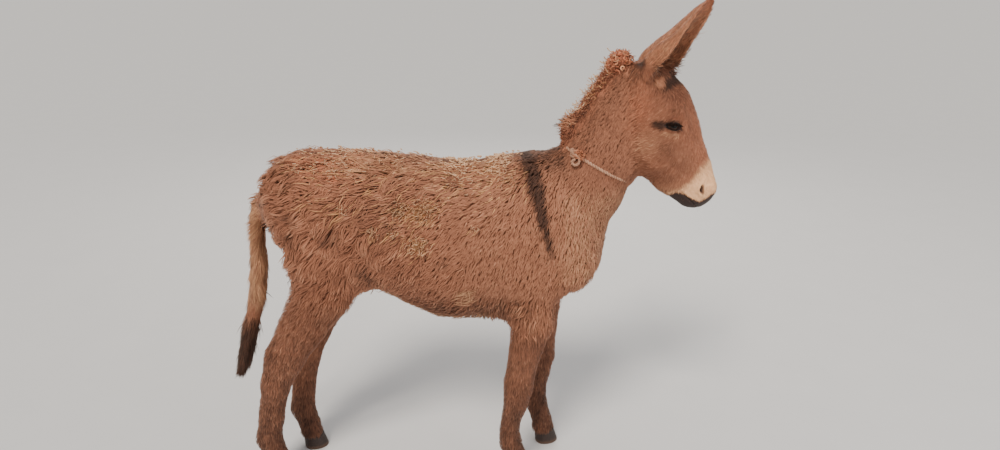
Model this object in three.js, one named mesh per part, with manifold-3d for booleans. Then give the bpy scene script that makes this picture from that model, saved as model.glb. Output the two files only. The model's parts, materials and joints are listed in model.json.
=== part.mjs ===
// A young donkey standing at ease, life size, as closed solids out to the tips of its winter coat.
// Millimetres, +Z up. It faces +X, and its right side is -Y. The origin lies on the floor below the
// middle of its bounding box. The body is one smooth field of rounded forms, meshed part by part on
// grids as fine as each part needs and divided by thin flat cuts. Hooves, ears, eyes and rope are lofts.
import * as THREE from "three";
import { mergeVertices } from "three/addons/utils/BufferGeometryUtils.js";
import Module from "manifold-3d";

const wasm = await Module();
wasm.setup();

// ---------- Sizes ----------
const GAP = 0.4; // width of the cuts between neighbouring solids
const SIDES = { right: -1, left: 1 }; // sign of Y on each side of the body

// The head's own frame: s runs down the face from the poll, d out of the forehead, y across.
const HEAD = { x: 446, z: 1150, pitch: THREE.MathUtils.degToRad(54.9) };
const EYE = { s: 143, d: -7, y: 59, radius: 17 };
const EAR = { wall: 5, turn: THREE.MathUtils.degToRad(36) }; // turn: how far a scoop faces outwards
const HOOF = { height: 46, halfLength: 36, halfWidth: 29, toeSlope: 17, sideSlope: 6 };
const ROPE = { radius: 4.5, sides: 5 };

// ---------- Fields ----------
// A field is a function of x, y, z: negative inside a form, positive outside, and about a distance.

// Union of two fields with a fillet about as wide as soft.
function blend(a, b, soft) {
  const near = Math.max(soft - Math.abs(a - b), 0) / soft;
  return Math.min(a, b) - (near * near * soft) / 4;
}

// Round stations joined by cones. A station is [x, y, z, r, breadth]: its centre, its half size in the
// XZ plane and its half size across.
function chain(stations, soft = 12) {
  const links = stations.slice(1).map((b, i) => ({ a: stations[i], b }));
  return (x, y, z) => {
    let d = Infinity;
    for (const { a, b } of links) {
      const ux = b[0] - a[0];
      const uy = b[1] - a[1];
      const uz = b[2] - a[2];
      const along = (x - a[0]) * ux + (y - a[1]) * uy + (z - a[2]) * uz;
      const t = Math.min(Math.max(along / (ux * ux + uy * uy + uz * uz), 0), 1);
      const r = a[3] + (b[3] - a[3]) * t;
      const breadth = a[4] + (b[4] - a[4]) * t;
      const across = ((y - a[1] - uy * t) * r) / breadth;
      const link = Math.hypot(x - a[0] - ux * t, across, z - a[2] - uz * t) - r;
      d = d === Infinity ? link : blend(d, link, soft);
    }
    return d;
  };
}

// An ellipsoid with half sizes [ahead, across, up], its long axis pitched nose down by an angle in degrees.
function mass([cx, cy, cz], [ra, rb, rc], pitch = 0) {
  const c = Math.cos(THREE.MathUtils.degToRad(pitch));
  const s = Math.sin(THREE.MathUtils.degToRad(pitch));
  return (x, y, z) => {
    const u = (x - cx) * c - (z - cz) * s;
    const v = y - cy;
    const w = (x - cx) * s + (z - cz) * c;
    const k0 = Math.hypot(u / ra, v / rb, w / rc);
    const k1 = Math.hypot(u / ra ** 2, v / rb ** 2, w / rc ** 2);
    return k1 ? (k0 * (k0 - 1)) / k1 : -Math.min(ra, rb, rc);
  };
}

// The same form on both sides of the body, given on the left.
const paired = (field) => (x, y, z) => field(x, Math.abs(y), z);

// Several forms grown together. Each entry is [field, soft].
const grown = (forms) => (x, y, z) =>
  forms.reduce((d, [field, soft]) => (d === null ? field(x, y, z) : blend(d, field(x, y, z), soft)), null);

// Point of the head's frame in the body's frame.
const headPoint = (s, d, y) => [
  HEAD.x + s * Math.cos(HEAD.pitch) + d * Math.sin(HEAD.pitch),
  y,
  HEAD.z - s * Math.sin(HEAD.pitch) + d * Math.cos(HEAD.pitch),
];
// A head station from the face's profile: its distance down the face, its upper and lower line, its half breadth.
const faceStation = (s, top, bottom, breadth, y = 0) => [
  ...headPoint(s, (top + bottom) / 2, y),
  (top - bottom) / 2,
  breadth,
];
const headMass = (s, d, y, sizes, turn = 0) =>
  mass(headPoint(s, d, y), sizes, THREE.MathUtils.radToDeg(HEAD.pitch) + turn);

// ---------- The body's forms ----------
const barrel = chain(
  [
    [-375, 0, 802, 144, 122],
    [-300, 0, 788, 162, 138],
    [-210, 0, 763, 181, 150],
    [-120, 0, 736, 199, 158],
    [-15, 0, 701, 217, 158],
    [90, 0, 706, 216, 136],
    [165, 0, 716, 190, 114],
  ],
  30,
);
const withers = mass([170, 0, 886], [95, 36, 57], 2);
const breast = mass([268, 0, 690], [108, 106, 125], -12);
const croup = paired(mass([-396, 46, 848], [112, 66, 90], 20));
const shoulder = paired(
  chain([
    [160, 55, 880, 62, 34],
    [222, 84, 765, 86, 46],
    [292, 84, 655, 66, 46],
  ]),
);
const neck = chain(
  [
    [252, 0, 812, 128, 96],
    [322, 0, 872, 111, 78],
    [376, 0, 958, 94, 66],
    [417, 0, 1045, 89, 60],
    [438, 0, 1102, 72, 56],
  ],
  24,
);
const throat = mass([395, 0, 940], [52, 44, 88], 28);

const skull = chain(
  [
    faceStation(48, 64, -70, 58),
    faceStation(100, 76, -105, 68),
    faceStation(150, 65, -126, 66),
    faceStation(200, 50, -133, 56),
    faceStation(250, 39, -126, 44),
    faceStation(300, 29, -106, 38),
    faceStation(338, 18, -88, 40),
  ],
  16,
);
const brow = paired(headMass(126, 8, 56, [58, 20, 34], 6));
const cheek = paired(headMass(186, -62, 42, [72, 26, 62]));
const nostril = paired(headMass(348, -10, 25, [25, 20, 24], 20));
const earBase = paired(mass([470, 44, 1142], [36, 23, 34], 30));
const upperLip = headMass(360, -38, 0, [24, 37, 30]);
const chin = headMass(348, -66, 0, [33, 29, 21], -8);

// A leg from its landmarks, from the trunk down to the coronet.
function foreleg(side, { elbow, knee, fetlock, coronet }) {
  const y = (v) => side * v;
  return chain(
    [
      [elbow.x + 8, y(elbow.y - 4), elbow.z + 90, 74, 44],
      [elbow.x, y(elbow.y), elbow.z, 60, 42],
      [elbow.x * 0.5 + knee.x * 0.5, y(elbow.y), (elbow.z + knee.z) / 2 + 12, 45, 36],
      [knee.x, y(knee.y), knee.z, 41, 35],
      [knee.x - 4, y(knee.y), knee.z - 48, 34, 30],
      [fetlock.x - 2, y(fetlock.y), fetlock.z + 45, 28, 26],
      [fetlock.x, y(fetlock.y), fetlock.z, 32, 29],
      [coronet.x, y(coronet.y), coronet.z + 18, 30, 28],
      [coronet.x + 4, y(coronet.y), coronet.z - 8, 31, 28],
    ],
    14,
  );
}
function hindleg(side, { stifle, hock, fetlock, coronet }) {
  const y = (v) => side * v;
  return chain(
    [
      [stifle.x - 8, y(stifle.y - 24), stifle.z + 190, 112, 58],
      [stifle.x + 8, y(stifle.y - 4), stifle.z + 85, 100, 60],
      [stifle.x, y(stifle.y), stifle.z, 84, 50],
      [stifle.x * 0.45 + hock.x * 0.55, y(hock.y + 3), stifle.z * 0.45 + hock.z * 0.55, 62, 42],
      [hock.x, y(hock.y), hock.z, 53, 37],
      [hock.x * 0.55 + fetlock.x * 0.45, y(hock.y), hock.z * 0.7 + fetlock.z * 0.3, 41, 33],
      [fetlock.x * 0.8 + hock.x * 0.2, y(fetlock.y), fetlock.z + 70, 35, 30],
      [fetlock.x, y(fetlock.y), fetlock.z, 36, 31],
      [coronet.x, y(coronet.y), coronet.z + 18, 31, 28],
      [coronet.x + 4, y(coronet.y), coronet.z - 8, 31, 28],
    ],
    14,
  );
}
const point = (x, y, z) => ({ x, y, z });
const LEGS = {
  foreleg_right: {
    side: SIDES.right,
    make: foreleg,
    elbow: point(190, 84, 520),
    knee: point(150, 84, 305),
    fetlock: point(128, 82, 128),
    coronet: point(146, 82, 52),
  },
  foreleg_left: {
    side: SIDES.left,
    make: foreleg,
    elbow: point(222, 84, 520),
    knee: point(222, 93, 305),
    fetlock: point(214, 99, 130),
    coronet: point(230, 101, 52),
  },
  hindleg_right: {
    side: SIDES.right,
    make: hindleg,
    stifle: point(-362, 96, 605),
    hock: point(-488, 86, 392),
    fetlock: point(-558, 80, 132),
    coronet: point(-540, 78, 52),
  },
  hindleg_left: {
    side: SIDES.left,
    make: hindleg,
    stifle: point(-345, 96, 605),
    hock: point(-452, 84, 392),
    fetlock: point(-503, 76, 130),
    coronet: point(-482, 74, 52),
  },
};
const legs = Object.values(LEGS).map((leg) => leg.make(leg.side, leg));
const flank = paired(mass([-272, 86, 672], [58, 42, 85], 30));

const flesh = grown([
  [barrel, 1], [withers, 60], [breast, 60], [croup, 60], [shoulder, 50], [neck, 70], [throat, 40],
  [skull, 46], [brow, 18], [cheek, 22], [earBase, 22], [nostril, 16], [upperLip, 16], [chin, 14],
  [legs[0], 46], [legs[1], 46], [legs[2], 46], [legs[3], 46], [flank, 40],
]);

// ---------- Meshing ----------
// Surface net of a field inside a box, one vertex in each cell that the surface crosses, on cells of the
// given sizes. Samples on the box's faces count as outside, so the mesh always closes.
function netOf(field, low, high, cell) {
  const n = [0, 1, 2].map((i) => Math.ceil((high[i] - low[i]) / cell[i]) + 1);
  const index = (i, j, k) => (i * n[1] + j) * n[2] + k;
  const coordinate = (axis, i) => low[axis] + i * cell[axis];
  const value = new Float64Array(n[0] * n[1] * n[2]).fill(1);
  for (let i = 1; i < n[0] - 1; i++)
    for (let j = 1; j < n[1] - 1; j++)
      for (let k = 1; k < n[2] - 1; k++)
        value[index(i, j, k)] = field(coordinate(0, i), coordinate(1, j), coordinate(2, k));

  const vertexOf = new Map();
  const positions = [];
  const corners = [0, 1, 2, 3, 4, 5, 6, 7].map((c) => [c >> 2, (c >> 1) & 1, c & 1]);
  const edges = corners.flatMap((a, i) =>
    corners.slice(i + 1).filter((b) => Math.abs(a[0] - b[0]) + Math.abs(a[1] - b[1]) + Math.abs(a[2] - b[2]) === 1)
      .map((b) => [a, b]),
  );
  const vertexIn = (i, j, k) => {
    const key = index(i, j, k);
    if (vertexOf.has(key)) return vertexOf.get(key);
    const sum = [0, 0, 0];
    let crossings = 0;
    for (const [a, b] of edges) {
      const va = value[index(i + a[0], j + a[1], k + a[2])];
      const vb = value[index(i + b[0], j + b[1], k + b[2])];
      if (va < 0 === vb < 0) continue;
      const t = va / (va - vb);
      crossings++;
      [i, j, k].forEach((base, axis) => {
        sum[axis] += coordinate(axis, base + a[axis] + t * (b[axis] - a[axis]));
      });
    }
    const inside = [i, j, k].every((v, axis) => v > 0 && v < n[axis] - 2);
    const start = sum.map((v) => v / crossings);
    positions.push(...(inside ? settled(field, start, cell) : start));
    vertexOf.set(key, positions.length / 3 - 1);
    return positions.length / 3 - 1;
  };

  const faces = [];
  const ahead = [[1, 0, 0], [0, 1, 0], [0, 0, 1]];
  for (let i = 0; i < n[0] - 1; i++)
    for (let j = 0; j < n[1] - 1; j++)
      for (let k = 0; k < n[2] - 1; k++)
        ahead.forEach(([di, dj, dk], axis) => {
          const here = value[index(i, j, k)] < 0;
          const next = value[index(i + di, j + dj, k + dk)] < 0;
          if (here === next) return;
          const [u, v] = [ahead[(axis + 1) % 3], ahead[(axis + 2) % 3]];
          const quad = [[0, 0], [1, 0], [1, 1], [0, 1]].map(([a, b]) =>
            vertexIn(i - a * u[0] - b * v[0], j - a * u[1] - b * v[1], k - a * u[2] - b * v[2]),
          );
          if (next) quad.reverse();
          faces.push(...splitQuad(positions, quad));
        });
  return solidOf(positions, faces);
}

// Moves a net's vertex onto the surface along the field's slope, by less than half a cell.
function settled(field, start, cell) {
  const p = [...start];
  const h = 0.5;
  for (let step = 0; step < 3; step++) {
    const f = field(...p);
    const g = [0, 1, 2].map((axis) => {
      const q = [...p];
      q[axis] += h;
      return (field(...q) - f) / h;
    });
    const scale = f / Math.max(g[0] ** 2 + g[1] ** 2 + g[2] ** 2, 0.05);
    g.forEach((slope, axis) => {
      const reach = 0.45 * cell[axis];
      const moved = p[axis] - slope * scale;
      p[axis] = Math.min(Math.max(moved, start[axis] - reach), start[axis] + reach);
    });
  }
  return p;
}

// Two triangles of a quad, across its shorter diagonal.
function splitQuad(positions, [a, b, c, d]) {
  const apart = (i, j) => Math.hypot(...[0, 1, 2].map((k) => positions[3 * i + k] - positions[3 * j + k]));
  return apart(a, c) < apart(b, d) ? [a, b, c, a, c, d] : [a, b, d, b, c, d];
}

// A solid from positions and triangle indices, and from a closed three.js geometry.
const solidOf = (positions, faces) =>
  new wasm.Manifold(
    new wasm.Mesh({ numProp: 3, vertProperties: new Float32Array(positions), triVerts: new Uint32Array(faces) }),
  );
function solidFrom(geometry) {
  const bare = geometry.clone();
  bare.deleteAttribute("normal");
  bare.deleteAttribute("uv");
  const merged = mergeVertices(bare, 1e-3);
  return solidOf(merged.attributes.position.array, merged.index.array);
}
function geometryOf(solid) {
  const mesh = solid.getMesh();
  return new THREE.BufferGeometry()
    .setAttribute("position", new THREE.BufferAttribute(Float32Array.from(mesh.vertProperties), 3))
    .setIndex(new THREE.BufferAttribute(Uint32Array.from(mesh.triVerts), 1));
}

// ---------- Lofts ----------
// A closed loft through rings of equal point counts. Its ends are closed by fans, or when each ring is a
// folded strip, running out along one face and back along the other, by the strip's own quads.
function loft(rings, folded = false) {
  const count = rings[0].length;
  const positions = rings.flat(2);
  const faces = [];
  const quad = (a, b, c, d) => faces.push(a, b, c, a, c, d);
  for (let r = 0; r < rings.length - 1; r++)
    for (let i = 0; i < count; i++) {
      const next = (i + 1) % count;
      quad(r * count + i, r * count + next, (r + 1) * count + next, (r + 1) * count + i);
    }
  const top = (rings.length - 1) * count;
  if (folded) {
    for (let i = 0; i < count / 2 - 1; i++) {
      quad(i + 1, i, count - 1 - i, count - 2 - i);
      quad(top + i, top + i + 1, top + count - 2 - i, top + count - 1 - i);
    }
  } else {
    const middle = (ring) => [0, 1, 2].map((axis) => ring.reduce((sum, p) => sum + p[axis], 0) / count);
    positions.push(...middle(rings[0]), ...middle(rings.at(-1)));
    for (let i = 0; i < count; i++) {
      const next = (i + 1) % count;
      faces.push(top + count, next, i, top + count + 1, top + i, top + next);
    }
  }
  const solid = solidOf(positions, faces);
  return solid.volume() > 0 ? solid : solidOf(positions, faces.reverse());
}

const vector = (p) => new THREE.Vector3(...p);

// A tube of elliptic sections. A station is [x, y, z, r, breadth]; r is measured in the tube's own
// vertical plane and breadth across it. grow widens the tube all round and lengthens it at both ends.
function tube(stations, sides, { grow = 0, across = [0, 1, 0] } = {}) {
  return loft(
    stations.map(([x, y, z, r, breadth], i) => {
      const before = vector(stations[Math.max(i - 1, 0)]);
      const after = vector(stations[Math.min(i + 1, stations.length - 1)]);
      const tangent = after.sub(before).normalize();
      const lift = new THREE.Vector3().crossVectors(vector(across), tangent).normalize();
      const side = new THREE.Vector3().crossVectors(tangent, lift);
      const end = i === 0 ? -grow : i === stations.length - 1 ? grow : 0;
      return Array.from({ length: sides }, (_, k) => {
        const a = (2 * Math.PI * k) / sides;
        return new THREE.Vector3(x, y, z)
          .addScaledVector(tangent, end)
          .addScaledVector(lift, (r + grow) * Math.cos(a))
          .addScaledVector(side, (breadth + grow) * Math.sin(a))
          .toArray();
      });
    }),
  );
}

// A closed ring of round section along a closed path.
function hoop(path, radius, sides) {
  const positions = [];
  path.forEach((p, i) => {
    const tangent = vector(path[(i + 1) % path.length]).sub(vector(path.at(i - 1))).normalize();
    const side = new THREE.Vector3().crossVectors(tangent, new THREE.Vector3(0.87, 0, 0.48)).normalize();
    const lift = new THREE.Vector3().crossVectors(side, tangent);
    for (let k = 0; k < sides; k++) {
      const a = (2 * Math.PI * k) / sides;
      const at = vector(p).addScaledVector(side, radius * Math.cos(a)).addScaledVector(lift, radius * Math.sin(a));
      positions.push(...at.toArray());
    }
  });
  const faces = [];
  for (let i = 0; i < path.length; i++)
    for (let k = 0; k < sides; k++) {
      const [j, l] = [(i + 1) % path.length, (k + 1) % sides];
      const [a, b, c, d] = [i * sides + k, j * sides + k, j * sides + l, i * sides + l];
      faces.push(a, b, c, a, c, d);
    }
  const solid = solidOf(positions, faces);
  return solid.volume() > 0 ? solid : solidOf(positions, faces.reverse());
}

// ---------- Cutters ----------
// Everything on one side of a plane: a large block whose face goes through a point, lying on the side
// that the normal points to. shift moves the face along the normal.
function beyond(at, normal, shift = 0) {
  const reach = 3000;
  const turn = new THREE.Quaternion().setFromUnitVectors(new THREE.Vector3(0, 0, 1), vector(normal).normalize());
  const block = new THREE.BoxGeometry(reach, reach, reach).translate(0, 0, reach / 2 + shift);
  return solidFrom(block.applyQuaternion(turn).translate(...at));
}

const NECK_CUT = { at: [322, 0, 850], normal: [0.86, 0, 0.51] };
const HEAD_CUT = { at: [431, 0, 1045], normal: [0.994, 0, 0.11] };

// A leg's own cell: a block around it that ends above in a plane leaning inwards and forwards, and below
// in the slope of its coronet.
const CELLS = {
  foreleg: { x: [98, 345], top: [84, 526], lean: [0, 0.5], at: 190 },
  hindleg: { x: [-620, -262], top: [96, 634], lean: [0.3, 0.5], at: -362 },
};
function legCell({ x, top, lean, at }, side, grow = 0) {
  const [near, far] = [12 - grow, 260];
  const block = new THREE.BoxGeometry(x[1] - x[0] + 2 * grow, far - near, 860);
  block.translate((x[0] + x[1]) / 2, (side * (near + far)) / 2, 400);
  return solidFrom(block).subtract(beyond([at, side * top[0], top[1]], [lean[0], -side * lean[1], 1], grow));
}
const kindOf = (name) => name.split("_")[0];
const coronetCut = ({ coronet, side }) => ({
  at: [coronet.x, side * coronet.y, HOOF.height - 7],
  normal: [-0.2, 0, -1],
});

// ---------- Hooves ----------
// A rounded horn box on a flat sole. Its wall slopes forward to the toe, and its top slopes with the coronet.
function hoof(leg) {
  const { coronet, side } = leg;
  const ring = (share, spread) =>
    Array.from({ length: 12 }, (_, k) => {
      const a = (2 * Math.PI * k) / 12;
      const round = Math.cos(a) > 0 ? 1 : 0.86;
      const ahead = HOOF.halfLength * round * spread * Math.cos(a);
      const x = coronet.x + HOOF.toeSlope * (1 - share) * (0.35 + 0.65 * Math.max(Math.cos(a), 0)) + ahead;
      const outward = (HOOF.halfWidth * spread + HOOF.sideSlope * (1 - share)) * Math.sin(a);
      return [x, side * coronet.y + outward, share * (HOOF.height + 14)];
    });
  const solid = loft([ring(0, 0.9), ring(0.08, 0.93), ring(0.5, 0.9), ring(1, 0.86)]);
  const cut = coronetCut(leg);
  return solid.subtract(beyond(cut.at, cut.normal.map((v) => -v), -GAP / 2));
}

// ---------- Ears ----------
// A scoop of thin wall. Its centre line is [x, y, z, half width, depth] on the left side.
const EAR_LINES = {
  ear_right: [
    [462, 46, 1138, 26, 36], [484, 53, 1166, 35, 48], [506, 60, 1190, 39, 49], [527, 66, 1219, 40, 37],
    [544, 72, 1250, 37, 25], [561, 78, 1280, 33, 17], [579, 83, 1309, 26, 12], [588, 86, 1333, 16, 7],
    [592, 87, 1351, 4, 3],
  ],
  ear_left: [
    [464, 46, 1138, 26, 36], [490, 53, 1165, 35, 48], [519, 60, 1187, 39, 49], [546, 67, 1212, 40, 37],
    [569, 74, 1239, 37, 25], [592, 82, 1265, 33, 17], [613, 89, 1290, 26, 12], [628, 93, 1310, 16, 7],
    [635, 95, 1326, 4, 3],
  ],
};
function ear(name, side, grow = 0) {
  const line = EAR_LINES[name];
  const arc = [-1, -0.62, -0.22, 0.22, 0.62, 1].map((u) => u * THREE.MathUtils.degToRad(102 + 2.5 * grow));
  return loft(
    line.map(([x, y, z, halfWidth, depth], i) => {
      const before = vector(line[Math.max(i - 1, 0)]);
      const after = vector(line[Math.min(i + 1, line.length - 1)]);
      const tangent = after.sub(before).normalize();
      tangent.y *= side;
      const open = new THREE.Vector3(Math.cos(EAR.turn), side * Math.sin(EAR.turn), 0);
      open.addScaledVector(tangent, -open.dot(tangent)).normalize();
      const wide = new THREE.Vector3().crossVectors(tangent, open);
      const end = i === 0 ? -grow : 0;
      const wall = Math.min(EAR.wall, halfWidth * 0.7);
      const place = (a, w, h) =>
        new THREE.Vector3(x, side * y, z)
          .addScaledVector(tangent, end)
          .addScaledVector(wide, w * Math.sin(a))
          .addScaledVector(open, -h * Math.cos(a))
          .toArray();
      const outer = arc.map((a) => place(a, halfWidth + grow, depth + grow));
      const inner = arc.map((a) => place(a, halfWidth - wall - grow, depth - wall - grow)).reverse();
      return [...outer, ...inner];
    }),
    true,
  );
}

// ---------- Mane, forelock and tail ----------
const MANE_LINE = [
  [262, 0, 958, 12, 12], [264, 0, 990, 20, 18], [272, 0, 1020, 30, 20], [299, 0, 1050, 23, 21],
  [320, 0, 1086, 22, 21], [343, 0, 1121, 22, 21], [367, 0, 1152, 26, 21], [390, 0, 1172, 36, 22],
  [418, 0, 1176, 30, 18],
];
const FORELOCK_LINE = [
  [452, 0, 1174, 14, 13], [476, 0, 1180, 14, 15], [502, 0, 1170, 15, 22], [526, 0, 1149, 9, 14],
];
const TAIL_LINE = [
  [-496, 0, 842, 22, 22], [-524, 0, 826, 25, 24], [-540, 0, 780, 22, 21], [-548, 0, 710, 22, 20],
  [-552, 0, 640, 26, 22], [-558, 0, 590, 27, 23], [-574, 0, 529, 24, 21], [-588, 0, 482, 21, 19],
];
const TUFT_LINE = [
  [-588, 0, 482, 21, 19], [-603, 0, 434, 19, 17], [-617, 0, 385, 17, 15], [-631, 0, 335, 14, 12],
  [-647, 0, 292, 9, 8], [-662, 0, 256, 2.5, 2.5],
];

// ---------- The collar ----------
// Walks outwards from the neck's middle in the rope's plane until the coat's surface, and a little inside it.
function ropePath(count, sunk) {
  const middle = new THREE.Vector3(343, 0, 925);
  const down = new THREE.Vector3(0.872, 0, -0.489);
  return Array.from({ length: count }, (_, k) => {
    const a = (2 * Math.PI * k) / count;
    const out = down.clone().multiplyScalar(Math.cos(a)).add(new THREE.Vector3(0, Math.sin(a), 0));
    let reach = 40;
    while (flesh(...middle.clone().addScaledVector(out, reach).toArray()) < -sunk && reach < 260) reach += 0.5;
    return middle.clone().addScaledVector(out, reach).toArray();
  });
}
const ropeLoop = ropePath(20, 1.5);
const rope = (grow = 0) => hoop(ropeLoop, ROPE.radius + grow, ROPE.sides);

// The knot sits on the rope low behind the crest, on the right, and a curled end hangs from it.
const knotAt = vector(ropeLoop[12]).add(new THREE.Vector3(3, -5, 2));
const knot = (grow = 0) =>
  solidFrom(
    new THREE.SphereGeometry(1, 8, 5).scale(13 + grow, 9 + grow, 11 + grow).translate(...knotAt.toArray()),
  );
const ropeEnd = (grow = 0) =>
  tube(
    [[0, -2, -4], [3, -8, -16], [1, -13, -29], [8, -17, -40], [18, -18, -38], [22, -16, -28]].map(
      ([x, y, z]) => [knotAt.x + x, knotAt.y + y, knotAt.z + z, ROPE.radius, ROPE.radius],
    ),
    ROPE.sides,
    { grow },
  );

// ---------- Solids ----------
const BOUNDS = {
  head: [[385, -126, 760], [715, 126, 1255], [22, 18, 22]],
  neck: [[160, -150, 680], [520, 150, 1250], [40, 34, 40]],
  trunk: [[-596, -230, 415], [460, 230, 1080], [57, 40, 39]],
  foreleg: { x: [20, 400], y: 195, z: [-30, 670], cell: [24, 21, 42] },
  hindleg: { x: [-665, -165], y: 215, z: [-30, 840], cell: [25, 20, 46] },
};

const solids = {};
const head = netOf(flesh, ...BOUNDS.head);
const neckBlank = netOf(flesh, ...BOUNDS.neck);
const trunkBlank = netOf(flesh, ...BOUNDS.trunk);
solids.head = head.subtract(beyond(HEAD_CUT.at, HEAD_CUT.normal.map((v) => -v), -GAP / 2));
solids.neck = neckBlank
  .subtract(beyond(HEAD_CUT.at, HEAD_CUT.normal, -GAP / 2))
  .subtract(beyond(NECK_CUT.at, NECK_CUT.normal.map((v) => -v), -GAP / 2));
solids.trunk = trunkBlank.subtract(beyond(NECK_CUT.at, NECK_CUT.normal, -GAP / 2));

for (const [name, leg] of Object.entries(LEGS)) {
  const cell = CELLS[kindOf(name)];
  const { x, y, z, cell: step } = BOUNDS[kindOf(name)];
  const reach = leg.side > 0 ? [-8, y] : [-y, 8];
  const blank = netOf(flesh, [x[0], reach[0], z[0]], [x[1], reach[1], z[1]], step);
  const cut = coronetCut(leg);
  solids[name] = blank.intersect(legCell(cell, leg.side)).subtract(beyond(cut.at, cut.normal, -GAP / 2));
  solids.trunk = solids.trunk.subtract(legCell(cell, leg.side, GAP));
  solids[name.replace("leg", "hoof")] = hoof(leg);
}

// Parts set into the coat: each neighbour is cut back from it by the gap.
function setInto(neighbours, grown) {
  for (const name of neighbours) solids[name] = solids[name].subtract(grown);
}
solids.mane = tube(MANE_LINE, 8);
setInto(["neck", "head", "trunk"], tube(MANE_LINE, 8, { grow: GAP }));
solids.forelock = tube(FORELOCK_LINE, 8);
setInto(["head"], tube(FORELOCK_LINE, 8, { grow: GAP }));
solids.tail = tube(TAIL_LINE, 10).subtract(beyond([-587, 0, 486], [-0.29, 0, -0.957], -GAP / 2));
solids.tail_tuft = tube(TUFT_LINE, 10).subtract(beyond([-587, 0, 486], [0.29, 0, 0.957], -GAP / 2));
setInto(["trunk", "hindleg_left", "hindleg_right"], tube(TAIL_LINE, 10, { grow: GAP }));
for (const [name, side] of [["ear_right", SIDES.right], ["ear_left", SIDES.left]]) {
  solids[name] = ear(name, side);
  setInto(["head", "neck", "forelock"], ear(name, side, 1.5 * GAP));
}

solids.collar_rope = rope();
setInto(["neck", "trunk", "mane"], rope(GAP));
solids.collar_end = ropeEnd();
setInto(["neck", "trunk", "mane", "collar_rope"], ropeEnd(GAP));
solids.collar_knot = knot();
setInto(["neck", "trunk", "mane", "collar_rope", "collar_end"], knot(GAP));

// Eyes: a ball in a socket that opens to the side in an almond slit.
for (const [word, side] of Object.entries(SIDES)) {
  const centre = headPoint(EYE.s, EYE.d, side * EYE.y);
  const ball = (r) => solidFrom(new THREE.SphereGeometry(r, 10, 7).rotateX(Math.PI / 2).translate(...centre));
  const slit = new THREE.SphereGeometry(1, 14, 7).scale(21, 30, 9.5).rotateY(THREE.MathUtils.degToRad(8));
  slit.translate(centre[0], side * (EYE.y + 14), centre[2]);
  solids[`eye_${word}`] = ball(EYE.radius);
  setInto(["head"], ball(EYE.radius + GAP));
  setInto(["head"], solidFrom(slit));
}

// ---------- Assembly ----------
const COLOURS = {
  coat: "#a87760", legs: "#8a5f4c", muzzle: "#a5745c", dark: "#3a2a24", mane: "#8f5e40",
  eye: "#22140f", hoof: "#3b2c28", rope: "#d8bd9c",
};
const colourOf = (name) =>
  /^(fore|hind)leg/.test(name) ? "legs"
  : /hoof/.test(name) ? "hoof"
  : /^eye/.test(name) ? "eye"
  : /^collar/.test(name) ? "rope"
  : /^(mane|forelock)/.test(name) ? "mane"
  : name === "tail_tuft" ? "dark"
  : name === "head" ? "muzzle"
  : "coat";

const donkey = new THREE.Group();
donkey.name = "donkey";
for (const [name, solid] of Object.entries(solids)) {
  const material = new THREE.MeshStandardMaterial({ color: COLOURS[colourOf(name)], roughness: 0.9 });
  const mesh = new THREE.Mesh(geometryOf(solid), material);
  mesh.name = name;
  donkey.add(mesh);
}

export default donkey;
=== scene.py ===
# %% [markdown]
# # A young donkey in its winter coat
# A yearling donkey stands at ease, nearly one metre high at the withers. The solids give its outline out
# to the tips of the coat. This scene puts a skin inside them and grows the coat, mane and tail on it.
# Everything is in metres, +X towards the nose, +Y to the animal's left and +Z up.

import json
import math

import bmesh
import bpy
import numpy as np
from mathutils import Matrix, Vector
from mathutils.bvhtree import BVHTree
from mathutils.kdtree import KDTree

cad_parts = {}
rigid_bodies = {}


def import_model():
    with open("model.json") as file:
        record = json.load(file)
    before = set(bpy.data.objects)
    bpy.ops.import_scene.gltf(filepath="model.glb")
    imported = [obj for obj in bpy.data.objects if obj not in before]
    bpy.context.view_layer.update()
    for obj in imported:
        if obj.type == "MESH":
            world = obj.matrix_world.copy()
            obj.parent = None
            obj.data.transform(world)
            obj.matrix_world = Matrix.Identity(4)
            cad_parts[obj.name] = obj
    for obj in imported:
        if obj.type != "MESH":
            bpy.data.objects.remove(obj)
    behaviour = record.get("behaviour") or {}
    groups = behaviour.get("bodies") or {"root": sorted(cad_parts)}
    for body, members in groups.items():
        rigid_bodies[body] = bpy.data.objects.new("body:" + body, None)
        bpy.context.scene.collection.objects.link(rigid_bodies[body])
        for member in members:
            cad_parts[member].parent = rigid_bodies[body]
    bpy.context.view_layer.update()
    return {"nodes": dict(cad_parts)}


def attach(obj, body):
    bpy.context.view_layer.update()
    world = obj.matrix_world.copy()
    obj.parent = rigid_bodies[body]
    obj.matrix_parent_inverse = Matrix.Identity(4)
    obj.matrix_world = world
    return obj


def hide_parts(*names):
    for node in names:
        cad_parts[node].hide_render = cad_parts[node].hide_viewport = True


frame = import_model()
SEED = 20240
MM = 0.001
SIDES = {"right": -1, "left": 1}

# %% [markdown]
# ## Landmarks
# An anatomist measures a head from its own axes, whatever way it is held. s runs down the face from the
# poll, d out of the forehead and y to the left. Leg, neck and coat landmarks are in the body's frame.

# %% Landmarks and small tools
HEAD = {"x": 0.446, "z": 1.150, "pitch": math.radians(54.9)}
EYE = {"s": 0.1435, "d": -0.0065, "y": 0.0552, "radius": 0.0188, "lid": 0.0018}
NECK_CUT = ((0.322, 0.0, 0.850), (0.86, 0.0, 0.51))
HEAD_CUT = ((0.431, 0.0, 1.045), (0.994, 0.0, 0.11))


def head_point(s, d, y):
    c, k = math.cos(HEAD["pitch"]), math.sin(HEAD["pitch"])
    return np.array([HEAD["x"] + s * c + d * k, y, HEAD["z"] - s * k + d * c])


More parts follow.
